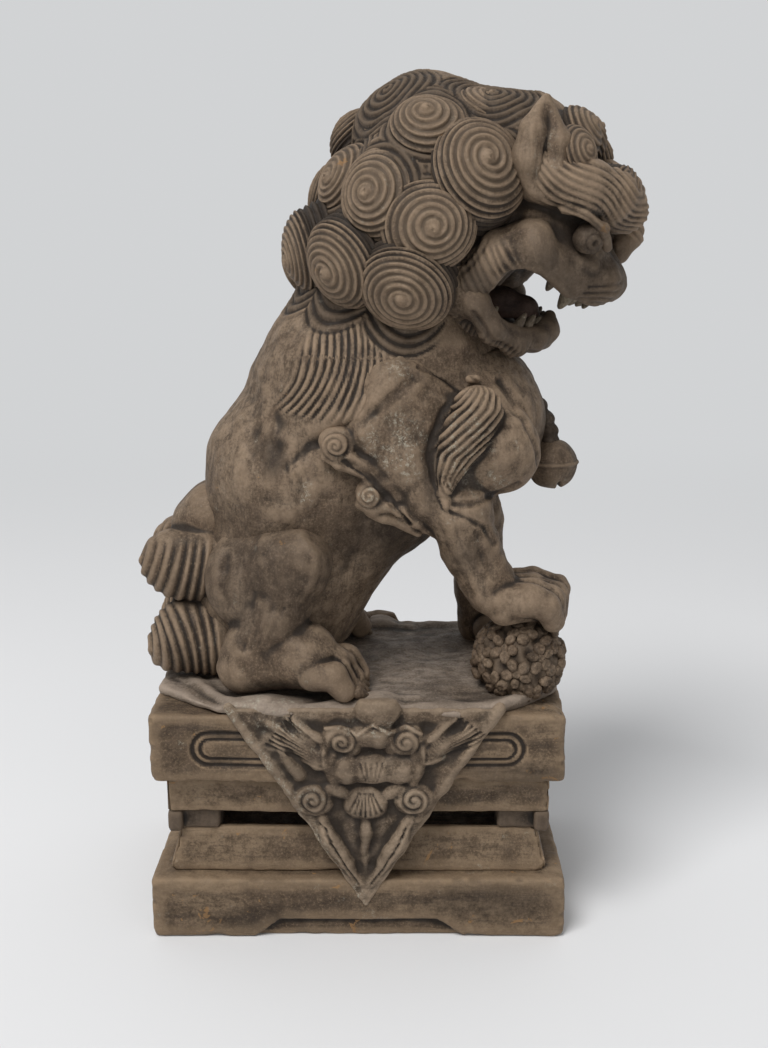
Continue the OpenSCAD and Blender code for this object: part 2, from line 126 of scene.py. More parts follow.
def bone(a, ra, b, rb):
    """A tapering round bar between two points."""
    a, b = np.array(a, float), np.array(b, float)
    along = b - a
    length2 = max(float(along @ along), 1e-6)

    def distance(x, y, z):
        px, py, pz = x - a[0], y - a[1], z - a[2]
        t = np.clip((px * along[0] + py * along[1] + pz * along[2]) / length2, 0, 1)
        gap = (px - t * along[0]) ** 2 + (py - t * along[1]) ** 2 + (pz - t * along[2]) ** 2
        return np.sqrt(gap) - (ra + t * (rb - ra))

    low = np.minimum(a - ra, b - rb)
    high = np.maximum(a + ra, b + rb)
    return Shape(low, high, distance)


def limb(*lumps):
    """Lumps (x, y, z, radius) joined one after another."""
    return [bone(p[:3], p[3], q[:3], q[3]) for p, q in zip(lumps, lumps[1:])]


def egg(centre, radii, turn=(0, 0, 0)):
    """A stretched ball, turned by angles in degrees."""
    centre = np.array(centre, float)
    radii = np.array(radii, float)
    axes = np.array(Euler([math.radians(t) for t in turn]).to_matrix())
    reach = np.sqrt(((axes * radii) ** 2).sum(1))

    def distance(x, y, z):
        p = (x - centre[0], y - centre[1], z - centre[2])
        q = [sum(p[i] * axes[i, j] for i in range(3)) / radii[j] for j in range(3)]
        size = np.sqrt(q[0] ** 2 + q[1] ** 2 + q[2] ** 2)
        slope = np.sqrt((q[0] / radii[0]) ** 2 + (q[1] / radii[1]) ** 2 + (q[2] / radii[2]) ** 2)
        return size * (size - 1) / np.maximum(slope, 1e-6)

    return Shape(centre - reach, centre + reach, distance)


def half(point, normal):
    """Everything behind a plane."""
    point, normal = np.array(point, float), np.array(normal, float)
    normal = normal / np.linalg.norm(normal)

    def distance(x, y, z):
        return (x - point[0]) * normal[0] + (y - point[1]) * normal[1] + (z - point[2]) * normal[2]

    return Shape((-999,) * 3, (999,) * 3, distance)


def rounded_box(low, high, round_off):
    """A box with soft edges."""
    middle = (np.array(low) + np.array(high)) / 2
    half = (np.array(high) - np.array(low)) / 2 - round_off

    def distance(x, y, z):
        q = [np.abs(v - m) - h for v, m, h in zip((x, y, z), middle, half)]
        outside = np.sqrt(sum(np.maximum(v, 0) ** 2 for v in q))
        return outside + np.minimum(np.maximum(np.maximum(q[0], q[1]), q[2]), 0) - round_off

    return Shape(low, high, distance)

# %% Clay
class Clay:
    """A block of grid points that shapes are added to and cut from."""

    def __init__(self, low, high, step):
        self.low = np.array(low, float)
        self.step = step
        self.count = np.ceil((np.array(high, float) - self.low) / step).astype(int) + 1
        self.field = np.full(self.count, EMPTY, np.float32)

    def places(self, i, first, last):
        """Grid places along axis i, from one index to another."""
        return (self.low[i] + self.step * np.arange(first, last + 1)).astype(np.float32)

    def window(self, low, high):
        first = np.clip(np.floor((low - self.low) / self.step).astype(int), 0, self.count - 1)
        last = np.clip(np.ceil((high - self.low) / self.step).astype(int), 0, self.count - 1)
        cut = tuple(slice(a, b + 1) for a, b in zip(first, last))
        axes = [self.places(i, first[i], last[i]) for i in range(3)]
        return cut, np.meshgrid(*axes, indexing="ij", sparse=True)

    def work(self, shapes, blend, join):
        shapes = shapes if isinstance(shapes, list) else [shapes]
        for shape in shapes:
            reach = blend + 3 * self.step
            cut, (x, y, z) = self.window(shape.low - reach, shape.high + reach)
            here = self.field[cut]
            if here.size:
                here[...] = join(here, shape.distance(x, y, z).astype(np.float32), blend)
        return self

    def add(self, shapes, blend=2.0):
        return self.work(shapes, blend, soft_min)

    def cut(self, shapes, blend=1.0):
        return self.work(shapes, blend, lambda a, b, k: -soft_min(-a, b, k))

    def rest_of(self, low, high):
        """Keeps only what lies between two corners, with a sharp edge."""
        axes = [self.places(i, 0, self.count[i] - 1) for i in range(3)]
        for i, v in enumerate(np.meshgrid(*axes, indexing="ij", sparse=True)):
            np.maximum(self.field, low[i] - v, out=self.field)
            np.maximum(self.field, v - high[i], out=self.field)
        return self


def soft_min(a, b, blend):
    near = np.maximum(blend - np.abs(a - b), 0) / max(blend, 1e-6)
    return np.minimum(a, b) - near * near * blend * 0.25


CORNERS = [(i, j, k) for i in (0, 1) for j in (0, 1) for k in (0, 1)]
EDGES = [(a, b) for a in range(8) for b in range(a + 1, 8) if bin(a ^ b).count("1") == 1]


def skin(clay):
    """Covers the clay with quads: one point in each cell that the surface crosses."""
    field = clay.field.copy()
    for axis in range(3):
        edge = [slice(None)] * 3
        for side in (0, -1):
            edge[axis] = side
            field[tuple(edge)] = np.maximum(field[tuple(edge)], clay.step)
    inside = field < 0
    cells = tuple(n - 1 for n in field.shape)
    count = np.zeros(cells, np.int8)
    for i, j, k in CORNERS:
        count += inside[i:i + cells[0], j:j + cells[1], k:k + cells[2]]
    active = (count > 0) & (count < 8)
    where = np.argwhere(active)
    u, v, w = where.T
    values = np.stack([field[u + i, v + j, w + k] for i, j, k in CORNERS], 1)
    total = np.zeros((len(where), 3))
    hits = np.zeros(len(where))
    for a, b in EDGES:
        crossed = (values[:, a] < 0) != (values[:, b] < 0)
        share = np.where(crossed, values[:, a] / np.where(crossed, values[:, a] - values[:, b], 1), 0)
        start, end = np.array(CORNERS[a]), np.array(CORNERS[b])
        total += crossed[:, None] * (start + share[:, None] * (end - start))
        hits += crossed
    points = clay.low + clay.step * (where + total / hits[:, None])
    index = np.full(cells, -1, np.int32)
    index[active] = np.arange(len(where))
    quads = []
    for axis in range(3):
        u, v = (axis + 1) % 3, (axis + 2) % 3
        lower = [slice(1, -1)] * 3
        upper = [slice(1, -1)] * 3
        lower[axis], upper[axis] = slice(0, -1), slice(1, None)
        flips = inside[tuple(lower)] != inside[tuple(upper)]
        spot = np.argwhere(flips)
        outward = inside[tuple(lower)][flips]
        for d in range(3):
            spot[:, d] += 0 if d == axis else 1
        ring = []
        for du, dv in ((-1, -1), (0, -1), (0, 0), (-1, 0)):
            cell = spot.copy()
            cell[:, u] += du
            cell[:, v] += dv
            ring.append(index[cell[:, 0], cell[:, 1], cell[:, 2]])
        ring = np.stack(ring, 1)
        ring[~outward] = ring[~outward][:, ::-1]
        quads.append(ring)
    return points, np.concatenate(quads)

# %% [markdown]
# ## Gouge work on a skinned surface
#
# Strands of hair are too fine for the clay's grid, so they are pressed in afterwards: each point moves along
# its normal by the depth of the nearest stroke. A ridge has a round back and a sharp valley, which is what
# a small V gouge leaves between two cuts.

# %% Normals, smoothing and ridges
def normals_of(points, quads):
    across = points[quads[:, 2]] - points[quads[:, 0]]
    down = points[quads[:, 3]] - points[quads[:, 1]]
    face = np.cross(across, down)
    total = [sum(np.bincount(quads[:, c], face[:, d], len(points)) for c in range(4)) for d in range(3)]
    total = np.stack(total, 1)
    return total / np.maximum(np.linalg.norm(total, axis=1, keepdims=True), 1e-9)


def relaxed(values, quads, times):
    """Averages each point with its neighbours, several times over."""
    one = [quads[:, c] for c in range(4)]
    other = [quads[:, (c + 1) % 4] for c in range(4)]
    starts, ends = np.concatenate(one + other), np.concatenate(other + one)
    share = np.bincount(starts, minlength=len(values)) + 1e-9
    for _ in range(times):
        pulled = [np.bincount(starts, values[ends, d], len(values)) for d in range(values.shape[1])]
        values = 0.4 * values + 0.6 * np.stack(pulled, 1) / share[:, None]
    return values


def ridge(phase):
    """0 in the valley between two strands, 1 on a strand's round back."""
    return (0.5 - 0.5 * np.cos(2 * math.pi * phase)) ** 0.75


def fade(value, start, end):
    t = np.clip((value - start) / (end - start), 0, 1)
    return t * t * (3 - 2 * t)


FINE_PASSES = 3
BROAD_PASSES = 45


class Surface:
    """Points and quads of a piece, with the depths that gouges have cut so far."""

    def __init__(self, clay):
        self.points, self.quads = skin(clay)
        self.points = relaxed(self.points, self.quads, 1)
        self.normals = normals_of(self.points, self.quads)
        self.height = np.zeros(len(self.points))
        self.paint = np.zeros(len(self.points))
        # a layer of painted shade with dirt, from 0 to 1 on each point
        self.shade_and_dirt = np.zeros(len(self.points))

    def comb(self, at, heading, facing, length, width, pitch=3.0, depth=0.9, soft=5.0):
        """Strands side by side, running along heading."""
        h = np.array(heading, float)
        f = np.array(facing, float)
        f /= np.linalg.norm(f)
        h -= f * (h @ f)
        h /= np.linalg.norm(h)
        side = np.cross(f, h)
        p = self.points - np.array(at, float)
        u, v, w = p @ h, p @ side, p @ f
        mask = fade(length / 2 - np.abs(u), 0, soft) * fade(width / 2 - np.abs(v), 0, soft)
        mask *= fade(self.normals @ f, 0.1, 0.4) * (np.abs(w) < 30)
        wobble = 0.12 * np.sin(u / 6.0 + v * 0.7)
        self.height += mask * depth * (ridge(v / pitch + wobble) - 0.75)
        return self

    def whorl(self, centre, axis, radius, pitch=3.0, depth=0.9, hand=1, soft=3.0):
        """A spiral groove round an axis."""
        a = np.array(axis, float)
        a /= np.linalg.norm(a)
        p = self.points - np.array(centre, float)
        helper = np.array([0, 0, 1.0]) if abs(a[2]) < 0.9 else np.array([1.0, 0, 0])
        e1 = np.cross(helper, a)
        e1 /= np.linalg.norm(e1)
        e2 = np.cross(a, e1)
        u, v = p @ e1, p @ e2
        r = np.hypot(u, v)
        phase = r / pitch - hand * np.arctan2(v, u) / (2 * math.pi)
        mask = fade(radius - r, 0, soft) * fade(r, 0, 1)
        mask = mask * fade(self.normals @ a, -0.3, 0.1) * (p @ a > -radius)
        self.height += mask * depth * (ridge(phase) - 0.7)
        return self

    def stroke(self, path, width=2.0, depth=1.0, facing=None):
        """One gouge cut, or one raised ridge if depth is negative, along a path of points.

        With facing, the path is pressed in along that direction, whatever the surface's height."""
        path = [np.array(p, float) for p in path]
        points, mask = self.points, 1.0
        if facing is not None:
            f = np.array(facing, float)
            f /= np.linalg.norm(f)
            points = points - np.outer(points @ f, f)
            path = [p - f * (p @ f) for p in path]
            mask = fade(self.normals @ f, 0.05, 0.35)
        best = np.full(len(points), 1e3)
        for a, b in zip(path, path[1:]):
            reach = 2 * width
            low, high = np.minimum(a, b) - reach, np.maximum(a, b) + reach
            near = np.where(np.all((points > low) & (points < high), axis=1))[0]
            p = points[near] - a
            along = b - a
            t = np.clip(p @ along / (along @ along), 0, 1)
            best[near] = np.minimum(best[near], np.linalg.norm(p - t[:, None] * along, axis=1))
        self.height -= mask * depth * np.clip(1 - (best / width) ** 2, 0, 1) ** 1.5
        return self

    def side_stroke(self, path, width=2.0, depth=1.0, side=-1):
        """A stroke on the lion's right side (or its left, side=1), along points (x, z)."""
        return self.stroke([(x, 0, z) for x, z in path], width, depth, facing=(0, side, 0))

    def carved(self, side, *marks):
        """Several side strokes: (path, width, depth) each."""
        for path, width, depth in marks:
            self.side_stroke(path, width, depth, side)
        return self

    def rough(self, size, depth, seed=0):
        """Uneven hand work: a gentle waviness all over."""
        rng = np.random.default_rng(seed)
        for _ in range(5):
            wave = rng.normal(size=3)
            wave *= 2 * math.pi / size / np.linalg.norm(wave)
            self.height += depth * 0.4 * np.sin(self.points @ wave + rng.uniform(0, 6.28))
        return self

    def inside(self, centre, radius, soft):
        """1 inside a stretched ball, fading to 0 at its edge."""
        away = (self.points - np.array(centre, float)) / np.array(radius, float)
        return fade(1 - np.linalg.norm(away, axis=1), 0, soft)

    def painted(self, *spots):
        """Leaves old paint in stretched balls: (centre, radii, amount) each."""
        for centre, radius, amount in spots:
            self.paint = np.maximum(self.paint, amount * self.inside(centre, radius, 0.5))
        return self

    def shaded_and_dirtied(self, *spots):
        """Darkens stretched balls with painted shade and dirt: (centre, radii, amount) each."""
        for centre, radius, amount in spots:
            self.shade_and_dirt = np.maximum(self.shade_and_dirt, amount * self.inside(centre, radius, 0.6))
        return self

    def finish(self):
        self.points = self.points + self.normals * self.height[:, None]
        normals = normals_of(self.points, self.quads)
        fine = relaxed(self.points, self.quads, FINE_PASSES)
        broad = relaxed(fine, self.quads, BROAD_PASSES)
        self.relief = ((self.points - fine) * normals).sum(1)
        self.hollow = ((fine - broad) * normals).sum(1)
        return self

# %% Meshes
def mesh_piece(name, points, quads, layers, material):
    """A mesh object from millimetre points; layers are named values, one for each point."""
    mesh = bpy.data.meshes.new(name)
    quads = np.asarray(quads, np.int32)
    mesh.vertices.add(len(points))
    mesh.vertices.foreach_set("co", (np.asarray(points) * MM).astype(np.float32).ravel())
    mesh.loops.add(quads.size)
    mesh.loops.foreach_set("vertex_index", quads.ravel())
    mesh.polygons.add(len(quads))
    mesh.polygons.foreach_set("loop_start", np.arange(0, quads.size, quads.shape[1], dtype=np.int32))
    mesh.polygons.foreach_set("loop_total", np.full(len(quads), quads.shape[1], np.int32))
    mesh.polygons.foreach_set("use_smooth", np.ones(len(quads), bool))
    for key, values in layers.items():
        mesh.attributes.new(key, "FLOAT", "POINT").data.foreach_set("value", np.asarray(values, np.float32))
    mesh.update(calc_edges=True)
    mesh.validate()
    mesh.materials.append(material)
    piece = bpy.data.objects.new(name, mesh)
    bpy.context.scene.collection.objects.link(piece)
    return piece


def grounded(surface):
    """Keeps the worn underside on the floor."""
    surface.points[:, 2] = np.maximum(surface.points[:, 2], 0)
    return surface


def put(surface, name, material, slot, *nodes):
    """Makes the piece, fixes it to the model and hides the plain nodes that it stands for."""
    layers = {key: getattr(surface, key) for key in ("relief", "hollow", "paint", "shade_and_dirt")}
    piece = mesh_piece(name, surface.points, surface.quads, layers, material)
    return settle(piece, slot, *nodes)


def settle(piece, slot, *nodes):
    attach(piece, "root")
    if nodes:
        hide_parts(*nodes)
    print(f"{piece.name}: {len(piece.data.polygons)} faces, {time.time() - started:.0f} s")
    return piece

# %% [markdown]
# ## Old carved wood
#
# The wood is dry and grey-brown. Dirt and painted shade darken every cut and hollow, and the ridges are
# rubbed pale; a thin ground coat survives in flakes on some swellings, and a few knocks show fresh ochre
# wood. The material mixes noise of several sizes with the values stored on the points: relief (fine),
# hollow (broad), paint, and the layer of painted shade with dirt.

# %% Material helper
class Recipe:
    """A short way to add shader nodes and join them up."""

    def __init__(self, name):
        self.material = bpy.data.materials.new(name)
        self.material.use_nodes = True
        self.tree = self.material.node_tree
        self.shader = self.tree.nodes["Principled BSDF"]
        self.place = self.node("ShaderNodeTexCoord").outputs["Object"]

    def node(self, kind, **settings):
        node = self.tree.nodes.new(kind)
        for key, value in settings.items():
            setattr(node, key, value)
        return node

    def feed(self, socket, value):
        if isinstance(value, bpy.types.NodeSocket):
            self.tree.links.new(value, socket)
        else:
            socket.default_value = value

    def noise(self, size_mm, stretch=(1, 1, 1), detail=3.0, rough=0.55, bend=0.0, shift=0.0):
        """Noise whose lumps are about size_mm across, drawn out along an axis where stretch is over 1."""
        scaled = self.node("ShaderNodeMapping")
        self.feed(scaled.inputs["Vector"], self.place)
        scaled.inputs["Scale"].default_value = [1000 / size_mm / s for s in stretch]
        scaled.inputs["Location"].default_value = (shift, shift * 1.7, shift * 0.6)
        noise = self.node("ShaderNodeTexNoise")
        self.feed(noise.inputs["Vector"], scaled.outputs["Vector"])
        noise.inputs["Scale"].default_value = 1.0
        noise.inputs["Detail"].default_value = detail
        noise.inputs["Roughness"].default_value = rough
        noise.inputs["Distortion"].default_value = bend
        return noise.outputs["Fac"]

    def layer(self, key):
        return self.node("ShaderNodeAttribute", attribute_name=key).outputs["Fac"]

    def math(self, operation, a, b=0.0, clamp=False):
        node = self.node("ShaderNodeMath", operation=operation, use_clamp=clamp)
        self.feed(node.inputs[0], a)
        self.feed(node.inputs[1], b)
        return node.outputs[0]

    def ramp(self, value, low, high, out_low=0.0, out_high=1.0):
        node = self.node("ShaderNodeMapRange", interpolation_type="SMOOTHSTEP")
        self.feed(node.inputs["Value"], value)
        node.inputs["From Min"].default_value = low
        node.inputs["From Max"].default_value = high
        node.inputs["To Min"].default_value = out_low
        node.inputs["To Max"].default_value = out_high
        return node.outputs["Result"]

    def mix(self, share, a, b, kind="MIX"):
        node = self.node("ShaderNodeMix", data_type="RGBA", blend_type=kind)
        self.feed(node.inputs["Factor"], share)
        self.feed(node.inputs["A"], (*a, 1) if isinstance(a, tuple) else a)
        self.feed(node.inputs["B"], (*b, 1) if isinstance(b, tuple) else b)
        return node.outputs["Result"]

    def bump(self, height, distance, strength=1.0, normal=None):
        node = self.node("ShaderNodeBump")
        node.inputs["Distance"].default_value = distance
        node.inputs["Strength"].default_value = strength
        self.feed(node.inputs["Height"], height)
        if normal is not None:
            self.feed(node.inputs["Normal"], normal)
        return node.outputs["Normal"]

# %% Wood
def old_wood(name, pale, mid, dark, grain, paint=(0.36, 0.335, 0.265), stray_paint=0.35, chips=0.70):
    """Weathered wood with its grain running along the long side of grain = (x, y, z)."""
    r = Recipe(name)
    clouds = r.noise(38, detail=6, rough=0.62, bend=0.9)
    stains = r.noise(21, stretch=grain, detail=6, rough=0.62, bend=0.9, shift=15.0)
    mottle = r.noise(5.5, detail=6, rough=0.7, shift=3.1)
    speck = r.noise(1.1, detail=4, rough=0.75, shift=7.7)
    streaks = r.noise(2.0, stretch=grain, detail=5, rough=0.65, bend=0.4, shift=1.3)
    colour = r.mix(r.ramp(clouds, 0.42, 0.58), mid, pale)
    colour = r.mix(r.ramp(mottle, 0.40, 0.70, 0, 0.85), colour, tuple(c * 0.55 for c in mid))
    colour = r.mix(r.ramp(stains, 0.52, 0.64, 0, 0.75), colour, tuple(c * 1.2 for c in dark))
    colour = r.mix(r.ramp(streaks, 0.42, 0.72, 0, 0.55), colour, dark)
    colour = r.mix(r.ramp(speck, 0.50, 0.68, 0, 0.55), colour, tuple(c * 1.15 for c in pale))
    colour = r.mix(r.ramp(speck, 0.50, 0.34, 0, 0.50), colour, dark)
    relief = r.layer("relief")
    hollow = r.layer("hollow")
    rubbed = r.math("MULTIPLY", r.ramp(relief, 0.03, 0.28, 0, 0.85), r.ramp(mottle, 0.3, 0.6), clamp=True)
    colour = r.mix(rubbed, colour, tuple(c * 1.35 for c in pale))
    # painted shade with dirt: fine cuts (relief) and broad hollows are darkened; broad swellings are paler,
    # rubbed and with painted light
    colour = r.mix(r.ramp(relief, 0.02, -0.22, 0, 0.92), colour, tuple(c * 0.40 for c in dark))
    colour = r.mix(r.ramp(hollow, -0.06, -0.55, 0, 0.88), colour, tuple(c * 0.5 for c in dark))
    colour = r.mix(r.ramp(hollow, 0.10, 0.6, 0, 0.45), colour, tuple(c * 1.2 for c in pale))
    crumbs = r.noise(1.7, detail=5, rough=0.8, bend=0.6, shift=5.0)
    areas = r.noise(7, detail=3, rough=0.6, bend=0.4, shift=25.0)
    flaking = r.math("MULTIPLY", r.ramp(crumbs, 0.50, 0.60), r.ramp(areas, 0.42, 0.58), clamp=True)
    flakes = r.math("MULTIPLY", r.layer("paint"), flaking, clamp=True)
    flakes = r.math("MULTIPLY", flakes, r.ramp(relief, -0.10, 0.04, 0.1, 0.85), clamp=True)
    left_over = r.ramp(areas, 0.64, 0.72, 0, stray_paint)
    stray = r.math("MULTIPLY", left_over, r.ramp(crumbs, 0.50, 0.60), clamp=True)
    colour = r.mix(r.math("MAXIMUM", flakes, stray), colour, paint)
    knocks = r.ramp(r.noise(13, detail=5, rough=0.7, bend=0.5, shift=12.0), chips, chips + 0.02, 0, 0.85)
    colour = r.mix(knocks, colour, (0.26, 0.145, 0.060))
    # painted shade with dirt, from the layer that each piece carries, made patchy by the mottle
    shaded_and_dirtied = r.math("MULTIPLY", r.layer("shade_and_dirt"), r.ramp(mottle, 0.25, 0.5, 0.6, 1.0), clamp=True)
    colour = r.mix(r.math("MULTIPLY", shaded_and_dirtied, 0.85), colour, tuple(c * 0.6 for c in dark))
    r.feed(r.shader.inputs["Base Color"], colour)
    r.feed(r.shader.inputs["Roughness"], r.ramp(mottle, 0.3, 0.7, 0.58, 0.85))
    r.shader.inputs["Specular IOR Level"].default_value = 0.35
    fibre = r.bump(streaks, 0.0006, 0.6)
    pores = r.bump(speck, 0.0004, 0.7, fibre)
    r.feed(r.shader.inputs["Normal"], r.bump(mottle, 0.0011, 0.55, pores))
    return r.material


lion_wood = old_wood(
    "lion_wood", (0.222, 0.158, 0.104), (0.122, 0.081, 0.050), (0.036, 0.023, 0.014), (1, 1, 5))
print("materials ready")

# %% [markdown]
# ## The lion's own axes
#
# The lion's lumps are counted from the cloth, and those of its head from the middle of the mane, along axes
# that are nodded and turned as the head is.

# %% Axes
LION = np.array([0.0, 0.0, float(seat)])
HEAD_TURN = np.array(Euler((0, math.radians(25), math.radians(-18))).to_matrix())
HEAD_AT = np.array([38.0, 0.0, 206.0])
NECK_CUT = 150.0
FAR = 200.0


def from_head(p):
    return HEAD_AT + HEAD_TURN @ np.array(p[:3], float)


def headed(lumps):
    return [(*from_head(p), p[3]) for p in lumps]


def flipped(lumps):
    return [(p[0], -p[1], *p[2:]) for p in lumps]


def both(lumps):
    return list(lumps) + flipped(lumps)


def mass(lumps):
    """Lumps joined each with each."""
    return [bone(p[:3], p[3], q[:3], q[3]) for i, p in enumerate(lumps) for q in lumps[i + 1:]]


def mirrored(surface):
    """The same piece for the lion's other side."""
    surface.points = surface.points * [1, -1, 1]
    surface.quads = surface.quads[:, ::-1]
    return surface


def lifted(surface, offset):
    surface.points = surface.points + offset
    return surface

# %% [markdown]
# ## Snail curls of the mane
#
# The mane is rows of snail curls. Each is a dome with one or two strands wound in to a bead at its tip. Only
# a few different curls are carved here; Geometry Nodes set copies of them at points that each carry a size
# and a turn, right-handed on one side of the head and left-handed on the other.

# %% Curl mesh
CURL_RADIUS = 20.0


def curl_mesh(name, hand, arms, pitch, rise, material, seed, rings=78, sectors=96):
    """A curl 20 mm in radius: a domed cap of height rise on sides that flare down to the hair below."""
    radius = CURL_RADIUS
    cap, side_drop = 0.66, 13.0
    sweep = np.linspace(0.012, 1, rings)
    angle = np.arange(sectors) * 2 * math.pi / sectors
    ss, aa = np.meshgrid(sweep, angle, indexing="ij")
    rng = np.random.default_rng(seed)
    spin = rng.uniform(0, 6, 5)
    t, down = np.minimum(ss / cap, 1), np.maximum(ss - cap, 0) / (1 - cap)
    out = np.sin(t * math.pi / 2) ** 0.95 * (1 + 0.13 * down ** 1.5)
    up = np.cos(t * math.pi / 2) ** 1.15
    arc = ss * (math.hypot(radius, rise) + side_drop)
    uneven = 0.16 * np.sin(2 * aa + 4 * ss + spin[1]) + 0.05 * np.sin(3 * aa + spin[2])
    wave = 0.26 * np.sin(aa + spin[0]) + ss * uneven
    phase = arc / pitch * (1.16 - 0.16 * ss) - hand * arms * aa / (2 * math.pi) + wave
    strands = ridge(phase)
    firm = fade(ss, 0.03, 0.09) * (1 - 0.45 * fade(np.sin(2.1 * phase + 2 * aa + spin[3]), 0.55, 0.95))
    lift = (strands - 0.7) * 1.45 * firm + 0.22 * ridge(2 * phase + 0.3)
    bead = 1.5 * np.clip(1 - (ss / 0.05) ** 2, 0, 1) ** 0.5
    swell = 1 + 0.06 * np.sin(aa + spin[4]) + 0.03 * np.sin(2 * aa + spin[1])
    reach = radius * out * swell + lift * out
    z = rise * up - side_drop * down + lift * np.clip(1 - out + 0.25, 0, 1) + bead
    lean = 2.2 * up
    x = reach * np.cos(aa) + lean * math.cos(spin[0])
    y = reach * np.sin(aa) + lean * math.sin(spin[0])
    points = np.stack([x, y, z], -1).reshape(-1, 3)
    i, j = np.meshgrid(np.arange(rings - 1), np.arange(sectors), indexing="ij")
    k = (j + 1) % sectors
    here, below = i * sectors, (i + 1) * sectors
    quads = np.stack([here + j, below + j, below + k, here + k], -1).reshape(-1, 4)
    relief = ((strands - 0.66) * 0.62 * firm + np.clip(1 - ss / 0.06, 0, 1) * 0.3).ravel()
    # painted shade with dirt on the lower sides, where the curl flares down into the hair; paler towards the
    # cap
    hollow = (0.5 * up - 1.9 * fade(ss, 0.50, 0.86)).ravel()
    top, last = len(points), (rings - 1) * sectors
    points = np.vstack([points, [[0, 0, z[0].mean()]], [[0, 0, z[-1].mean()]]])
    faces = [tuple(q) for q in quads.tolist()]
    faces += [(top, j, (j + 1) % sectors) for j in range(sectors)]
    faces += [(top + 1, last + (j + 1) % sectors, last + j) for j in range(sectors)]
    mesh = bpy.data.meshes.new(name)
    mesh.from_pydata((points * MM).tolist(), [], faces)
    mesh.polygons.foreach_set("use_smooth", np.ones(len(faces), bool))
    for key, values in (("relief", relief), ("hollow", hollow)):
        layer = mesh.attributes.new(key, "FLOAT", "POINT")
        layer.data.foreach_set("value", np.append(values, [0.3, -1.0]).astype(np.float32))
    mesh.materials.append(material)
    return bpy.data.objects.new(name, mesh)

# %% Copies at points
def copies_tree():
    """Geometry Nodes that set copies of one object at points with a turn and a size."""
    tree = bpy.data.node_groups.new("place_copies", "GeometryNodeTree")
    face = tree.interface
    face.new_socket("Points", in_out="INPUT", socket_type="NodeSocketGeometry")
    names = {}
    for title, kind in (("Source", "Object"), ("Finish", "Material"), ("Unevenness", "Float"), ("Seed", "Int")):
        socket = face.new_socket(title, in_out="INPUT", socket_type="NodeSocket" + kind)
        names[title] = socket.identifier
    face.new_socket("Copies", in_out="OUTPUT", socket_type="NodeSocketGeometry")
    new, join = tree.nodes.new, tree.links.new
    given, made = new("NodeGroupInput"), new("NodeGroupOutput")
    source = new("GeometryNodeObjectInfo")
    source.transform_space = "ORIGINAL"
    join(given.outputs["Source"], source.inputs["Object"])

    def stored(key):
        node = new("GeometryNodeInputNamedAttribute")
        node.data_type = "FLOAT_VECTOR"
        node.inputs["Name"].default_value = key
        return node.outputs["Attribute"]

    rotation = new("FunctionNodeEulerToRotation")
    join(stored("turn"), rotation.inputs["Euler"])
    uneven = new("FunctionNodeRandomValue")
    uneven.data_type = "FLOAT"
    for operation, end in (("SUBTRACT", "Min"), ("ADD", "Max")):
        limit = new("ShaderNodeMath")
        limit.operation = operation
        limit.inputs[0].default_value = 1.0
        join(given.outputs["Unevenness"], limit.inputs[1])
        join(limit.outputs[0], [s for s in uneven.inputs if s.name == end and s.type == "VALUE"][0])
    join(given.outputs["Seed"], uneven.inputs["Seed"])
    scale = new("ShaderNodeVectorMath")
    scale.operation = "SCALE"
    join(stored("size"), scale.inputs[0])
    join([s for s in uneven.outputs if s.type == "VALUE"][0], scale.inputs["Scale"])
    place = new("GeometryNodeInstanceOnPoints")
    join(given.outputs["Points"], place.inputs["Points"])
    join(source.outputs["Geometry"], place.inputs["Instance"])
    join(rotation.outputs["Rotation"], place.inputs["Rotation"])
    join(scale.outputs["Vector"], place.inputs["Scale"])
    real = new("GeometryNodeRealizeInstances")
    join(place.outputs["Instances"], real.inputs["Geometry"])
    finish = new("GeometryNodeSetMaterial")
    join(real.outputs["Geometry"], finish.inputs["Geometry"])
    join(given.outputs["Finish"], finish.inputs["Material"])
    join(finish.outputs["Geometry"], made.inputs["Copies"])
    return tree, names


COPIES, COPY_INPUTS = copies_tree()


def point_vectors(mesh, name, rows):
    """Stores one vector for each point."""
    layer = mesh.attributes.new(name, "FLOAT_VECTOR", "POINT")
    layer.data.foreach_set("vector", np.array(rows, np.float32).ravel())


def copies(name, source, spots, finish, unevenness=0.04, seed=1):
    """spots: (position in mm, 3x3 turn, size). Gives one real mesh of all copies."""
    mesh = bpy.data.meshes.new(name + "_points")
    mesh.from_pydata([tuple(np.array(p) * MM) for p, _, _ in spots], [], [])
    point_vectors(mesh, "turn", [tuple(Matrix(np.array(m).tolist()).to_euler()) for _, m, _ in spots])
    point_vectors(mesh, "size", [s for _, _, s in spots])
    points = bpy.data.objects.new(name + "_points", mesh)
    bpy.context.scene.collection.objects.link(points)
    bpy.context.scene.collection.objects.link(source)
    modifier = points.modifiers.new("copies", "NODES")
    modifier.node_group = COPIES
    modifier[COPY_INPUTS["Source"]] = source
    modifier[COPY_INPUTS["Finish"]] = finish
    modifier[COPY_INPUTS["Unevenness"]] = unevenness
    modifier[COPY_INPUTS["Seed"]] = seed
    bpy.context.view_layer.update()
    graph = bpy.context.evaluated_depsgraph_get()
    real = bpy.data.meshes.new_from_object(points.evaluated_get(graph), depsgraph=graph)
    real.name = name
    if not real.materials:
        real.materials.append(finish)
    bpy.context.scene.collection.objects.unlink(source)
    bpy.data.objects.remove(points)
    piece = bpy.data.objects.new(name, real)
    bpy.context.scene.collection.objects.link(piece)
    return piece


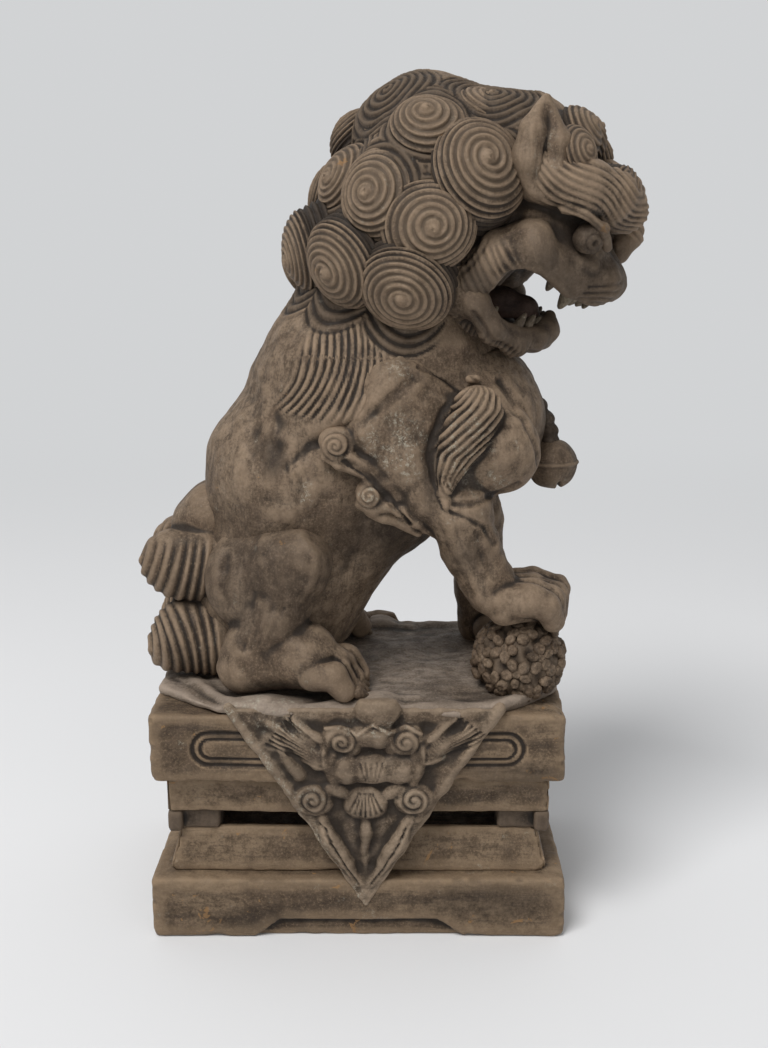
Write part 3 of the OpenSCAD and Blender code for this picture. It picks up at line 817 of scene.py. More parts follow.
def standing(axis, roll=0.0):
    """A turn that stands a copy's z axis along axis, rolled by degrees."""
    z = np.array(axis, float)
    z /= np.linalg.norm(z)
    helper = np.array([1.0, 0, 0]) if abs(z[0]) < 0.9 else np.array([0, 0, 1.0])
    x = np.cross(helper, z)
    x /= np.linalg.norm(x)
    y = np.cross(z, x)
    c, s = math.cos(math.radians(roll)), math.sin(math.radians(roll))
    return np.stack([x * c + y * s, y * c - x * s, z], 1)

# %% [markdown]
# ## The head
#
# The head is one block from the glue line at the neck upwards. The mane's mass comes first, then brow, cheeks
# and muzzle; the mouth and the eye sockets are cut out. A mound is left under each curl.

# %% Head clay
MANE = both([(-8, -20, 12, 31), (-16, -15, -20, 32)])
CROWN = [(-20, 0, 25, 32), (18, 0, 38, 27)] + both([(-8, -14, 22, 30)])
SKULL = [(16, 0, 6, 34)] + both([(44, -10, 14, 18)])
CHEEK = [(30, -34, -12, 9), (35, -33, 4, 10), (46, -28, 11, 11), (60, -19, 6, 9), (73, -9, 4, 8)]
SIDE_CURLS = [
    (-14, -43, 44, 18), (20, -50, 37, 21), (-21, -57, 6, 19), (11, -61, 3, 20), (-25, -57, -33, 19),
    (13, -60, -29, 20), (-39, -17, 38, 17), (-46, -36, 1, 18), (-50, -36, -40, 18), (0, -15, 59, 16),
]
BACK_CURLS = [(-62, 0, -16, 17), (-58, 0, -52, 16), (-62, 0, 20, 15)]
FOREHEAD_CURLS = [(47, -24, 54, 11), (67, -7, 48, 9), (41, -9, 63, 12)]
EYE = (64, -22, 24)


def outward(p):
    """Away from the middle of the mane."""
    out = np.array([p[0] + 6, p[1], p[2]], float)
    return out / np.linalg.norm(out)


def curl_mound(p):
    out = outward(p)
    tip, foot = np.array(p[:3]) - out * (4 + p[3] * 0.8), np.array(p[:3]) - out * 30
    return headed([(*tip, p[3] * 0.80), (*foot, p[3] * 0.9)])


RUMP = (-38, 0, 38, 38)
LOIN = (-26, 0, 92, 41)
BACK = (-6, 0, 126, 42)
SHOULDERS = both([(14, -12, 126, 34)])
CHEST = both([(47, -8, 118, 33)])
NECK = (20, 0, 150, 36)
BELLY = (10, 0, 88, 29)
FLANK = (-22, 0, 60, 28)


def trunk_and_neck(clay):
    """The lumps on both sides of the glue line, so that torso and head meet flush there."""
    clay.add(mass([BACK, *SHOULDERS, *CHEST, NECK]), 5)
    clay.add(mass([*headed([(-12, 0, -22, 34)]), (-6, -6, 140, 36), (-6, 6, 140, 36)]), 6)
    clay.add(mass([*headed([(0, 0, -22, 34)]), (26, -10, 150, 32), (26, 10, 150, 32)]), 6)
    clay.add(mass(headed(MANE)), 6)


head_clay = Clay((-50, -72, 146), (128, 72, 274), 1.02)
trunk_and_neck(head_clay)
head_clay.add(mass(headed(CROWN)), 6)
head_clay.add(mass(headed(SKULL)), 6)
for p in both(SIDE_CURLS) + BACK_CURLS:
    head_clay.add(limb(*curl_mound(p)), 2)
for x, y, z, _ in both(FOREHEAD_CURLS):
    head_clay.add(limb(*headed([(x - 7, y * 0.8, z - 8, 9), (x - 14, y * 0.7, z - 14, 10)])), 2)
for side in (1, -1):
    def here(lumps):
        return headed(lumps if side > 0 else flipped(lumps))

    brow = [(36, -27, 40, 12), (54, -22, 42, 11.5), (64, -12, 42, 10.5), (69, 0, 39, 10)]
    head_clay.add(limb(*here(brow)), 5)
    head_clay.add(mass(here([(50, -10, 16, 13), (50, 10, 16, 13), (62, -8, 14, 11), (70, -4, 10, 9)])), 5)
    head_clay.cut(limb(*here([(44, -41, 19, 5), (56, -34, 23, 7), (66, -27, 22, 7.5), (74, -22, 18, 5)])), 2)
    head_clay.add(limb(*here(CHEEK)), 1.2)
    lid = [(52, -30, 31, 2.6), (60, -29, 33, 2.8), (69, -24, 30, 2.6), (73, -18, 24, 2.4)]
    head_clay.add(limb(*here(lid)), 1.5)
    head_clay.add(limb(*here([(57, -23, 16, 2.4), (64, -21, 13.5, 2.6), (71, -17, 14, 2.4)])), 3)
    head_clay.add(egg(from_head((76, -5 * side, 8)), (9, 10, 9)), 4)
    head_clay.add(egg(from_head((68, -12 * side, 3)), (12, 8, 7)), 4)
head_clay.add(limb(*headed([(69, 20, 38, 7), (75, 22, 29, 5.5), (75, 22, 20, 4.5)])), 2)
MOUTH = [(38, 0, -14, 14), (52, 33, -9, 11.5), (52, -33, -9, 11.5), (64, 28, -14, 13), (64, -28, -14, 13)]
head_clay.cut(mass(headed(MOUTH + [(86, 24, -18, 13), (86, -24, -18, 13)])), 1.2)
head_clay.rest_of((-FAR, -FAR, NECK_CUT - 1.5), (FAR, FAR, FAR * 2))
print("head clay worked", round(time.time() - started), "s")

# %% Head hair and skin
def mane_flow(surface, pitch=3.4, depth=1.3):
    """Between the curls the hair runs round the nearest one, as if it were being wound in."""
    local = (surface.points - HEAD_AT) @ HEAD_TURN
    best = np.full(len(local), 1e3)
    phase = np.zeros(len(local))
    for p in both(SIDE_CURLS) + BACK_CURLS:
        out = outward(p)
        hand = 1 if p[1] < 0 else -1
        away = local - np.array(p[:3])
        flat = away - np.outer(away @ out, out)
        r = np.linalg.norm(flat, axis=1)
        x = np.cross(np.array([0, 0, 1.0]), out)
        x /= np.linalg.norm(x)
        angle = np.arctan2(flat @ np.cross(out, x), flat @ x)
        gap = np.linalg.norm(away, axis=1) - p[3]
        nearer = gap < best
        best[nearer] = gap[nearer]
        phase[nearer] = (r / pitch - hand * angle / (2 * math.pi))[nearer]
    face = fade(local[:, 0], 26, 36)
    surface.flow = (1 - face) * fade(10 - best, 0, 4)
    surface.height += depth * (ridge(phase) - 0.75) * surface.flow
    # painted shade, with dirt, in the hair close round each curl
    surface.shade_and_dirt = np.maximum(surface.shade_and_dirt, 0.7 * fade(9 - best, 0, 5) * (1 - face))
    return surface


def shoulder_hair(surface, side):
    """Strands combed down behind the shoulder, over a smooth raised band."""
    p = surface.points
    x, z = p[:, 0], p[:, 2]
    across = (x + 9) * 0.90 - (z - 141) * 0.40
    down = -(x + 9) * 0.40 - (z - 141) * 0.90
    lane = across + 0.012 * down ** 2 - 0.10 * down
    patch = fade(21 - np.abs(across + 1), 0, 9)
    patch = patch * fade(20 - down - 0.3 * across, 0, 5) * fade(down, -34, -26)
    patch *= fade(surface.normals[:, 1] * side, 0.1, 0.4) * (1 - surface.flow)
    wobble = 0.16 * np.sin(down / 7 + lane / 5)
    surface.height += patch * (0.9 + 1.4 * (ridge(lane / 3.2 + wobble) - 0.7))
    surface.carved(
        side,
        ([(20, 141), (6, 131), (-10, 123), (-26, 118), (-35, 108)], 7, -1.1),
        ([(10, 127), (-6, 119), (-20, 113), (-30, 104)], 4, 0.9),
        ([(-33, 112), (-37, 106)], 4.5, 1.2),
    )


head = Surface(head_clay)
mane_flow(head)
shoulder_hair(head, -1)
shoulder_hair(head, 1)
# The brow's strands run round the hood over the eyes, at even heights, and rise round the forehead's curls.
local = (head.points - HEAD_AT) @ HEAD_TURN
level = (local[:, 2] + 0.25 * (local[:, 0] - 50) + 2.2 * np.sin(local[:, 0] / 8 + local[:, 1] / 9)) / 3.0
hood = fade(local[:, 0], 30, 37) * fade(local[:, 2], 27, 31)
for p in both(FOREHEAD_CURLS):
    away = np.linalg.norm(local - np.array(p[:3]), axis=1)
    level += 0.9 * np.exp(-(away / 13) ** 2)
head.height += hood * 0.75 * (ridge(level) - 0.7)
for side in (1, -1):
    snout = HEAD_TURN @ np.array([0.45, -0.89 * side, 0.0])
    for n, (start, end) in enumerate(((12, 8), (8, 4.5), (4, 1.5), (0.5, -1))):
        fold = ((83, -5 * side, start), (78, -11 * side, end + 1), (73 - n, -16 * side, end - 2))
        head.stroke([from_head(p) for p in fold], 1.4, 0.75, facing=snout)
    temple = HEAD_TURN @ np.array([0.1, -1.0 * side, 0.0])
    back_down = HEAD_TURN @ np.array([0.6, 0, -0.5])
    head.comb(from_head((34, -42 * side, -8)), back_down, temple, 26, 40, pitch=3.0, depth=0.8)
    lip = ((46, -38, -10), (47, -35, 0), (54, -30, 5), (64, -26, 2), (70, -22, -3))
    head.stroke([from_head((x, y * side, z)) for x, y, z in lip], 2.2, -0.9, facing=temple)
head.rough(26, 0.7, seed=1).rough(9, 0.22, seed=2)
# painted shade, with dirt: in and round the mouth, over the lower face, in the eye sockets and low behind the
# cheeks
head.shaded_and_dirtied((from_head((50, 0, -10)), (34, 30, 20), 1.0), (from_head((60, 0, 6)), (42, 110, 32), 0.75))
for side in (1, -1):
    head.shaded_and_dirtied((from_head((62, -26 * side, 24)), (18, 14, 9), 1.0))
    head.shaded_and_dirtied((from_head((34, -38 * side, -14)), (12, 14, 22), 0.8))
head.finish()
head.hollow *= fade(head.points[:, 2], NECK_CUT + 1, NECK_CUT + 7)
head.relief *= fade(head.points[:, 2], NECK_CUT - 1, NECK_CUT + 1)
put(lifted(head, LION), "head_and_mane", lion_wood, "carved_wood", "head_block")

# %% Curls on the mane
CURL_KINDS = [(1, 3.2, 15.0), (2, 3.0, 14.0), (1, 3.0, 13.0)]
for side, label in ((1, "right"), (-1, "left")):
    source = curl_mesh(f"small_curl_{label}", side, 1, 4.6, 14.0, lion_wood, 9, rings=52, sectors=64)
    spots = []
    for n, p in enumerate(FOREHEAD_CURLS):
        spot = np.array([p[0], p[1] * side, p[2]])
        size = p[3] / CURL_RADIUS
        out = outward((p[0] - 12, p[1] * side, p[2] - 14))
        turn = HEAD_TURN @ standing(out, 40 + 90 * n)
        spots.append((from_head(spot + out * (4.5 - 13 * size)) + LION, turn, (size,) * 3))
    settle(copies(f"forehead_curls_{label}", source, spots, lion_wood, 0.02, seed=7), "carved_wood")
    rows = SIDE_CURLS + (BACK_CURLS if side > 0 else [])
    for kind, (arms, pitch, rise) in enumerate(CURL_KINDS):
        source = curl_mesh(f"curl_{label}_{kind}", side, arms, pitch, rise, lion_wood, 5 + kind)
        spots = []
        for n, p in enumerate(rows):
            if n % 3 != kind:
                continue
            spot = np.array([p[0], p[1] * side, p[2]])
            out = outward(spot)
            turn = HEAD_TURN @ standing(out, 70 * n)
            size = p[3] / CURL_RADIUS
            spots.append((from_head(spot - out * rise * size) + LION, turn, (size,) * 3))
        piece = copies(f"mane_curls_{label}_{kind + 1}", source, spots, lion_wood, 0.03, seed=4 + kind)
        settle(piece, "carved_wood")

# %% [markdown]
# ## The torso
#
# The torso is a smooth barrel between rump and chest. Behind each shoulder a patch of hair is combed down in
# long strands over a plain band, and a few folds of skin run down the back and the flank.

# %% Torso
torso_clay = Clay((-82, -50, -2), (92, 50, 154), 1.0)
torso_clay.add(limb(RUMP, LOIN, BACK), 12)
trunk_and_neck(torso_clay)
torso_clay.add(mass([LOIN, BELLY, *CHEST]), 8)
torso_clay.add(mass([RUMP, FLANK, BELLY]), 8)
torso_clay.rest_of((-FAR, -FAR, 0), (FAR, FAR, NECK_CUT + 1.5))
torso = mane_flow(Surface(torso_clay))
for side in (-1, 1):
    shoulder_hair(torso, side)
    torso.carved(
        side,
        ([(-46, 138), (-45, 117), (-44, 98), (-40, 84)], 5, 0.7),
        ([(-40, 136), (-38, 117), (-37, 100)], 4, -0.6),
        ([(-52, 122), (-51, 104), (-50, 88)], 4.5, -0.5),
        ([(-40, 84), (-30, 82), (-22, 86), (-20, 94)], 5, -0.9),
        ([(-38, 91), (-29, 89), (-25, 93)], 4, 0.4),
    )
    for x in (-29, -25, -21, -17):
        torso.side_stroke([(x, 113), (x - 2, 105), (x, 97)], 1.5, 0.22, side)
    torso.carved(
        side,
        ([(24, 148), (34, 142), (44, 136), (58, 134)], 1.3, 0.8),
        ([(62, 140), (72, 126), (78, 112)], 3, 1.4),
    )
    torso.painted(((-22, 44 * side, 92), (5, 12, 8), 0.9))
torso.rough(26, 0.7, seed=1).rough(9, 0.22, seed=2)
# painted shade, with dirt: under the belly, on the chest under the head, behind the shoulders and low on the
# flanks
torso.shaded_and_dirtied(
    ((10, 0, 72), (50, 60, 30), 0.75), ((84, 0, 112), (22, 30, 40), 0.8),
    ((-36, -36, 106), (9, 14, 16), 0.9), ((-40, 0, 60), (50, 70, 50), 0.45),
)
torso.finish()
torso.hollow *= fade(NECK_CUT - torso.points[:, 2], 1, 7)
torso.relief *= fade(NECK_CUT - torso.points[:, 2], -1, 1)
put(lifted(torso, LION), "torso", lion_wood, "carved_wood", "torso")

# %% [markdown]
# ## The forelegs
#
# Each foreleg block has a flat shoulder plate, the swelling of the upper arm in front of it, a tuft of hair
# that sweeps down over the two, and a pair of scrolls at the elbow with their strands running forward. The
# right paw holds the ball, and the left one stands.

# %% Foreleg
RIGHT_LEG = [(44, -38, 84, 15), (50, -38, 66, 12.5), (56, -38, 54, 11.5), (61, -38, 46, 12)]
LEFT_LEG = [(50, -35, 86, 15), (58, -36, 62, 13), (60, -36, 26, 12), (62, -36, 9, 12), (72, -36, 7, 9)]
TOE_ROWS = (-47, -38, -29, -20)


def rope(x_z_r, y):
    """A strand along points (x, z, radius), at y or at a list of y."""
    levels = y if isinstance(y, (list, tuple)) else [y] * len(x_z_r)
    return limb(*[(x, level, z, r) for (x, z, r), level in zip(x_z_r, levels)])


def tuft_hair(leg):
    """Strands that run down the tuft between its two edges, and draw together at its tip."""
    x, z = leg.points[:, 0], leg.points[:, 2]
    heights = [86, 93, 101, 111, 121, 130, 136, 140]
    back = np.interp(z, heights, [37.8, 34.2, 32.6, 31.6, 34.6, 38.5, 43, 49])
    front = np.interp(z, heights, [39.8, 40.4, 45.0, 54.3, 60.2, 63.0, 60, 53])
    share = (x - back) / (front - back)
    rise = np.maximum(z - 110, 0)
    lane = share * 6.5 - 0.13 * rise - 0.0012 * rise ** 2 + 0.2 * np.sin(z / 7)
    inside = fade(share, -0.04, 0.06) * fade(1 - share, -0.04, 0.06) * fade(z, 84, 88) * fade(140 - z, 0, 3)
    inside *= fade(-leg.normals[:, 1], 0.05, 0.35)
    body = 1.6 * np.sin(np.clip(share, 0, 1) * math.pi) ** 0.6
    leg.height += inside * (body + 1.9 * (ridge(lane) - 0.6) * fade(z, 89, 99))
    edge = 1.2 * np.exp(-(np.abs(share + 0.05) / 0.07) ** 2)
    leg.height -= edge * fade(z, 94, 101) * fade(134 - z, 0, 4) * (leg.normals[:, 1] < 0)
    return leg


ELBOW_STRANDS = [
    ([(-14, 108, 2.4), (-8, 105, 2.6), (0, 103, 2.8), (8, 98, 3.0), (16, 90, 2.6), (25, 82, 1.8),
      (33, 76, 1.2)], [-46.5, -47, -47.5, -47.5, -46.5, -45, -42], 1.5),
    ([(-3, 109, 2.2), (4, 106, 2.4), (11, 100.5, 2.4), (18, 92, 2.2), (27, 84, 1.6), (34, 79, 1.0)],
     [-48.5, -48.5, -48.5, -48, -46, -43], 1.2),
    ([(1, 88, 2.4), (7, 86, 2.8), (13, 87.5, 2.8), (19, 85, 2.6), (26, 79, 2.0), (33, 72, 1.2)],
     [-48, -48, -48, -47, -45, -42], 1.5),
    ([(5, 84, 1.9), (12, 81.5, 2.2), (19, 79, 2.2), (27, 73, 1.5)], [-46.5, -46.5, -45, -42], 1.5),
]


def foreleg(bones, toes, low_z):
    clay = Clay((-24, -66, low_z), (108, -6, 158), 0.88)
    clay.add(mass([(16, -32, 134, 18), (7, -37, 118, 13), (22, -39, 106, 14), (31, -38, 92, 13)]), 4)
    clay.add(mass([(20, -30, 132, 19), (58, -26, 116, 18), (40, -32, 100, 18)]), 4)
    clay.add(limb((31, -38, 92, 13), (44, -38, 84, 15)), 3)
    clay.add(limb(*bones), 4)
    clay.add(egg((60, -36, 110), (20.5, 17, 20), (0, 15, 0)), 1.5)
    for toe in toes:
        clay.add(limb(*toe), 0.7)
    clay.add(egg((52, -46, 130), (11, 9, 9), (0, 20, 0)), 1.5)
    tuft = [(52, -46, 128, 10), (46, -46, 116, 10.5), (40, -47, 105, 7.5), (38.5, -48, 95, 4.5)]
    tuft.append((39, -48, 88, 2))
    clay.add(limb(*tuft), 1)
    clay.cut(rope([(30, 124, 1.5), (29.5, 112, 2.2), (31, 100, 2.2), (34, 90, 1.5)], -55), 1.5)
    clay.add(egg((-9, -45, 114), (8.0, 7.5, 8.0)), 1.0)
    clay.add(egg((5.2, -47, 92.5), (6.4, 7.5, 6.4)), 1.0)
    gully = [(-3, 112, 1.2), (4, 106, 1.9), (12, 99, 1.9), (20, 90, 1.9), (27, 78, 1.5), (31, 66, 1.0)]
    clay.cut(rope(gully, -52.5), 0.8)
    for strand, levels, blend in ELBOW_STRANDS:
        clay.add(rope(strand, levels), blend)
    clay.add(limb((48, -42, 141.5, 2.0), (51, -41, 141.5, 2.0)), 1.5)
    return clay


def foreleg_marks(leg):
    tuft_hair(leg)
    leg.whorl((-9, -51, 114), (-0.1, -1, 0), 8.2, pitch=2.9, depth=1.1, hand=1, soft=2.5)
    leg.whorl((5.2, -53, 92.5), (0, -1, 0), 6.6, pitch=2.7, depth=1.1, hand=-1, soft=2.5)
    for n in range(3):
        strand = [(-4 + 2 * n, 105.5 - 1.5 * n), (6 + n, 101 - 2 * n), (15, 91 - 2 * n), (23, 79)]
        leg.side_stroke(strand, 1.0, 0.7)
    leg.carved(
        -1,
        ([(24, 142), (12, 132), (-1, 120), (2, 110), (11, 100)], 3.0, 0.7),
        ([(26, 138), (16, 130), (5, 119)], 4.5, -0.4),
        ([(26, 147), (34, 143), (43, 137)], 1.2, 0.8),
        ([(49, 143), (51.5, 140)], 1.3, 0.9),
        ([(64, 131), (72, 124), (77, 114), (79, 104)], 1.8, 1.3),
        ([(42, 89), (50, 89), (60, 91), (70, 96)], 2.2, 1.0),
        ([(39, 86), (47, 83), (55, 78), (60, 70)], 1.8, 0.9),
        ([(52, 76), (54, 66), (60, 56)], 2.6, 0.7),
        ([(38, 84), (42, 70), (49, 56), (54, 45)], 3, -0.7),
        ([(2, 127), (10, 136), (18, 144)], 3, -0.7),
    )
    leg.painted(
        ((17, -54, 114), (20, 14, 20), 1.0), ((46, -56, 112), (16, 12, 26), 1.0),
        ((57, -54, 97), (13, 14, 9), 0.9), ((5, -54, 92), (9, 8, 9), 0.9),
        ((16, -54, 82), (13, 8, 8), 0.7), ((20, -45, 145), (14, 12, 7), 0.8),
    )
    leg.rough(20, 0.5, seed=5).rough(7, 0.2, seed=6)
    # painted shade, with dirt: behind the paw, in the gully behind the tuft and over the elbow's scrolls
    leg.shaded_and_dirtied(
        ((48, -40, 66), (14, 22, 14), 0.7), ((32, -52, 104), (6, 10, 24), 0.7),
        ((8, -46, 98), (24, 8, 20), 0.35),
    )
    return leg


def toe_marks(leg, toes):
    for toe in toes:
        x, y, z = toe[-1][:3]
        leg.stroke([(x - 14, y + 4.5, z + 10), (x - 3, y + 4.5, z + 6), (x + 4, y + 4.5, z - 2)], 1.6, 0.9)
    return leg


paw_toes = []
for y in TOE_ROWS:
    reach = 0.28 * (y + 47)
    grip_y = y + 0.3 * (-33 - y)
    paw_toes.append([
        (64, y * 0.7 - 12, 44, 8), (76 + reach * 0.6, y, 44.5, 7.4), (83.5 + reach, y, 41.5, 6.8),
        (87 + 0.5 * reach, grip_y, 33.5, 5.4),
    ])
paw_toes.append([(58, -42, 46, 9), (64, -44, 40, 7.5), (74, -40, 39, 6.5), (82, -36, 37, 6)])
right = toe_marks(foreleg_marks(Surface(foreleg(RIGHT_LEG, paw_toes, 16))), paw_toes)
right.finish()
put(lifted(right, LION), "foreleg_right", lion_wood, "carved_wood", "foreleg_right")

FORE_TOES = (-48, -40, -32, -24)
fore_toes = [[(64, y * 0.9, 8, 8), (76, y, 10, 6.8), (84, y, 5, 5.4)] for y in FORE_TOES]
left_clay = foreleg(LEFT_LEG, fore_toes, -2)
left_clay.rest_of((-FAR, -FAR, 0), (FAR, FAR, FAR))
left = toe_marks(foreleg_marks(Surface(left_clay)), fore_toes).finish()
put(lifted(mirrored(left), LION), "foreleg_left", lion_wood, "carved_wood", "foreleg_left")

# %% [markdown]
# ## The hind legs and the tail
#
# The haunch is a plain swelling with a sharp knee and a few strands down the shin. The tail is two tiers of
# snail curls on a smooth root, ridged like shells.

# %% Hind legs
HIND_TOES = (-57, -49.5, -42, -34.5)


def hindleg():
    clay = Clay((-80, -66, -2), (10, -8, 96), 0.85)
    clay.add(limb((-44, -26, 48, 26), (-30, -38, 58, 17), (-24, -42, 62, 12)), 8)
    clay.add(limb((-24, -42, 60, 11), (-36, -43, 36, 13), (-48, -43, 20, 12), (-52, -43, 12, 12)), 4)
    clay.add(limb((-50, -43, 12, 12), (-24, -45, 18, 14.5), (-14, -45, 13, 11)), 3)
    for y in HIND_TOES:
        reach = 0.22 * (y + 57)
        clay.add(limb((-20, y * 0.97, 13, 7), (-11 + reach, y, 13, 6.4), (-6 + reach, y, 6, 5.2)), 0.8)
    clay.add(limb((-40, -52, 44, 3), (-38, -54, 36, 3), (-41, -54, 26, 2)), 1.5)
    clay.rest_of((-FAR, -FAR, 0), (FAR, FAR, FAR))
    leg = Surface(clay)
    for n in range(4):
        shin = [(-45 + 4.4 * n, 49 - 2 * n), (-46 + 3.6 * n, 38), (-50 + 3.2 * n, 24 + n)]
        leg.side_stroke(shin, 1.7, 0.3 + 0.1 * (n % 2))
    leg.carved(
        -1,
        ([(-24, 74), (-18, 66), (-19, 56), (-24, 46)], 2.5, -0.8),
        ([(-58, 84), (-44, 88), (-30, 84), (-20, 76)], 3, 0.8),
        ([(-58, 62), (-60, 50), (-56, 36), (-50, 26)], 3.5, 0.8),
    )
    for y in (-53, -45.5, -38):
        leg.stroke([(-20, y, 22), (-8, y, 18), (2, y, 8)], 2.2, 1.1)
    leg.painted(((-10, -52, 12), (8, 8, 7), 0.7))
    leg.rough(24, 0.6, seed=8).rough(8, 0.2, seed=9)
    # painted shade, with dirt: over the haunch, low along the floor and between the leg and the belly
    leg.shaded_and_dirtied(
        ((-40, -40, 50), (46, 40, 44), 0.5), ((-34, -44, 4), (40, 30, 9), 0.8),
        ((-20, -30, 44), (18, 16, 22), 0.7),
    )
    return leg.finish()


put(lifted(hindleg(), LION), "hindleg_right", lion_wood, "carved_wood", "hindleg_right")
put(lifted(mirrored(hindleg()), LION), "hindleg_left", lion_wood, "carved_wood", "hindleg_left")

# %% Tail
tail_clay = Clay((-104, -46, -2), (-44, 46, 104), 0.85)
tail_clay.add(mass([(-58, 0, 44, 20), (-66, 0, 68, 18), (-60, 0, 20, 20)]), 5)
for side in (-1, 1):
    tail_clay.add(limb((-58, 0, 70, 17), (-68, side * 6, 74, 14), (-75, side * 4, 68, 13)), 3)
    tail_clay.add(limb((-72, side * 13, 52, 18.5), (-84, side * 15, 53, 16.5), (-89, side * 17, 54, 12)), 1.5)
    tail_clay.add(limb((-66, side * 16, 18, 19), (-80, side * 18, 19, 17.5), (-86, side * 21, 16, 13)), 1.5)
tail_clay.rest_of((-FAR, -FAR, 0.4), (FAR, FAR, FAR))
tail = Surface(tail_clay)
local = tail.points.copy()
for side in (-1, 1):
    for centre, axis, reach, hand, split in (
        ((-95, 17 * side, 57), (-0.82, 0.56 * side, 0.10), 34, side, 1),
        ((-94, 23 * side, 15), (-0.74, 0.66 * side, -0.12), 36, -side, -1),
    ):
        axis = np.array(axis) / np.linalg.norm(axis)
        p = local - np.array(centre, float)
        deep = p @ axis
        flat = p - np.outer(deep, axis)
        x = np.cross([0, 0, 1.0], axis)
        x /= np.linalg.norm(x)
        angle = np.arctan2(flat @ np.cross(axis, x), flat @ x)
        turn = np.linalg.norm(p, axis=1) / 3.5 - hand * angle / (2 * math.pi)
        tier = fade((local[:, 2] - 36) * split, -1, 2) * fade(local[:, 1] * side, 0, 2)
        tier = tier * fade(66 - local[:, 2], -4, 6)
        tail.height += tier * 1.15 * (ridge(turn) - 0.75) * fade(reach - np.linalg.norm(p, axis=1), 0, 3)
tail.stroke([(-100, 0, 62), (-100, 0, 40), (-100, 0, 10)], 4, 1.5, facing=(-1, 0, 0))
tail.painted(((-92, -24, 14), (10, 12, 9), 0.8)).rough(24, 0.5, seed=11)
# painted shade, with dirt: between the tail's two tiers and along its foot
tail.shaded_and_dirtied(((-78, 0, 36), (26, 40, 4), 0.9), ((-80, 0, 0), (30, 40, 10), 0.8))
tail.finish()
put(lifted(tail, LION), "tail", lion_wood, "carved_wood", "tail")

# %% [markdown]
# ## Jaw, teeth, tongue, eyes and ears
#
# The lower jaw is a separate block, a thick rim round a bed for the tongue. The ears are leaves with a valley
# down the middle, and the eyes are round bosses in deep sockets, each with a drilled pupil.

# %% Lower jaw
RIM = [
    (22, -34, -14, 8.5), (35, -36, -19, 6.3), (46, -31, -27, 5.4),
    (55, -19, -29.5, 5.4), (61, -8, -26.5, 5.6), (62, 0, -21, 6.5),
]
jaw_clay = Clay((30, -50, 148), (108, 42, 212), 0.75)
jaw_clay.add(limb(*headed(RIM)), 3)
jaw_clay.add(limb(*headed(flipped(RIM))), 3)
jaw_clay.add(mass(headed([(51, 0, -32, 6), (34, 0, -35, 7), (30, -22, -31, 8), (30, 22, -31, 8)])), 5)
jaw_clay.add(limb(*headed([(16, -34, -20, 9), (30, -33, -22, 7)])), 3)
jaw_clay.add(limb(*headed([(16, 34, -20, 9), (30, 33, -22, 8)])), 3)
jaw_clay.cut(limb(*headed([(40, 0, -18, 9), (52, 0, -16, 8)])), 2)
jaw = Surface(jaw_clay)
for side in (-1, 1):
    rim_top = [from_head((x, y * -side, z + r * 0.8)) for x, y, z, r in RIM]
    jaw.stroke(rim_top, 3.2, -1.0)
    chin = [from_head((x + 3, y * -side * 1.14, z - 3)) for x, y, z, r in RIM[1:]]
    jaw.stroke(chin, 2.2, 1.0)
    beard = HEAD_TURN @ np.array([0.75, 0.55 * side, -0.3])
    downward = HEAD_TURN @ np.array([0.3, 0.1 * side, -1.0])
    jaw.comb(from_head((44, 26 * side, -33)), downward, beard, 16, 46, pitch=2.8, depth=0.9)
jaw.rough(18, 0.5, seed=12).rough(6, 0.2, seed=13)
# painted shade, with dirt: over the whole jaw, deepest inside the mouth and at the hinge
jaw.shaded_and_dirtied(
    (from_head((44, 0, -26)), (44, 110, 30), 0.7), (from_head((44, 0, -16)), (26, 30, 14), 1.0),
    (from_head((30, -34, -24)), (14, 12, 14), 0.6),
)
jaw.finish()
put(lifted(jaw, LION), "lower_jaw", lion_wood, "carved_wood", "lower_jaw")

# %% Teeth and tongue
def cone_mesh(name, height, width, bend, tip, material):
    """A pointed source for copies: a round foot rising to a blunt tip that leans by bend."""
    rings = [(0.0, 1.0), (0.25, 0.98), (0.5, 0.86), (0.75, 0.62), (0.92, 0.34 + tip), (1.0, 0.10 + tip)]
    points = []
    for t, r in rings:
        for a in range(12):
            angle = a * math.pi / 6
            x = bend * t * t * height + width * r * math.cos(angle)
            points.append((x, width * 0.85 * r * math.sin(angle), t * height))
    faces = []
    for k in range(0, 60, 12):
        for a in range(12):
            b = (a + 1) % 12
            faces.append((k + a, k + b, k + 12 + b, k + 12 + a))
    faces += [tuple(range(60, 72)), tuple(range(11, -1, -1))]
    mesh = bpy.data.meshes.new(name)
    mesh.from_pydata([tuple(c * MM for c in p) for p in points], [], faces)
    mesh.polygons.foreach_set("use_smooth", [True] * len(faces))
    mesh.materials.append(material)
    return bpy.data.objects.new(name, mesh)


tooth_paint = old_wood(
    "tooth_paint", (0.20, 0.165, 0.115), (0.12, 0.090, 0.060), (0.04, 0.027, 0.018), (1, 1, 4),
    stray_paint=0.5)
tongue_paint = old_wood(
    "tongue_paint", (0.10, 0.06, 0.043), (0.065, 0.038, 0.028), (0.025, 0.014, 0.011), (4, 1, 1),
    stray_paint=0.2)


def teeth(name, row, turn_z, node):
    source = cone_mesh(name + "_one", 1.0, 0.5, 0.1, 0.05, tooth_paint)
    spots = []
    for x, y, z, width, height in row:
        axis = HEAD_TURN @ np.array([0.10 * turn_z, -0.10 * np.sign(y), turn_z], float)
        spots.append((from_head((x, y, z)) + LION, standing(axis), (width, width, height)))
    settle(copies(name, source, spots, tooth_paint, 0.05, seed=8), "tooth_paint", node)


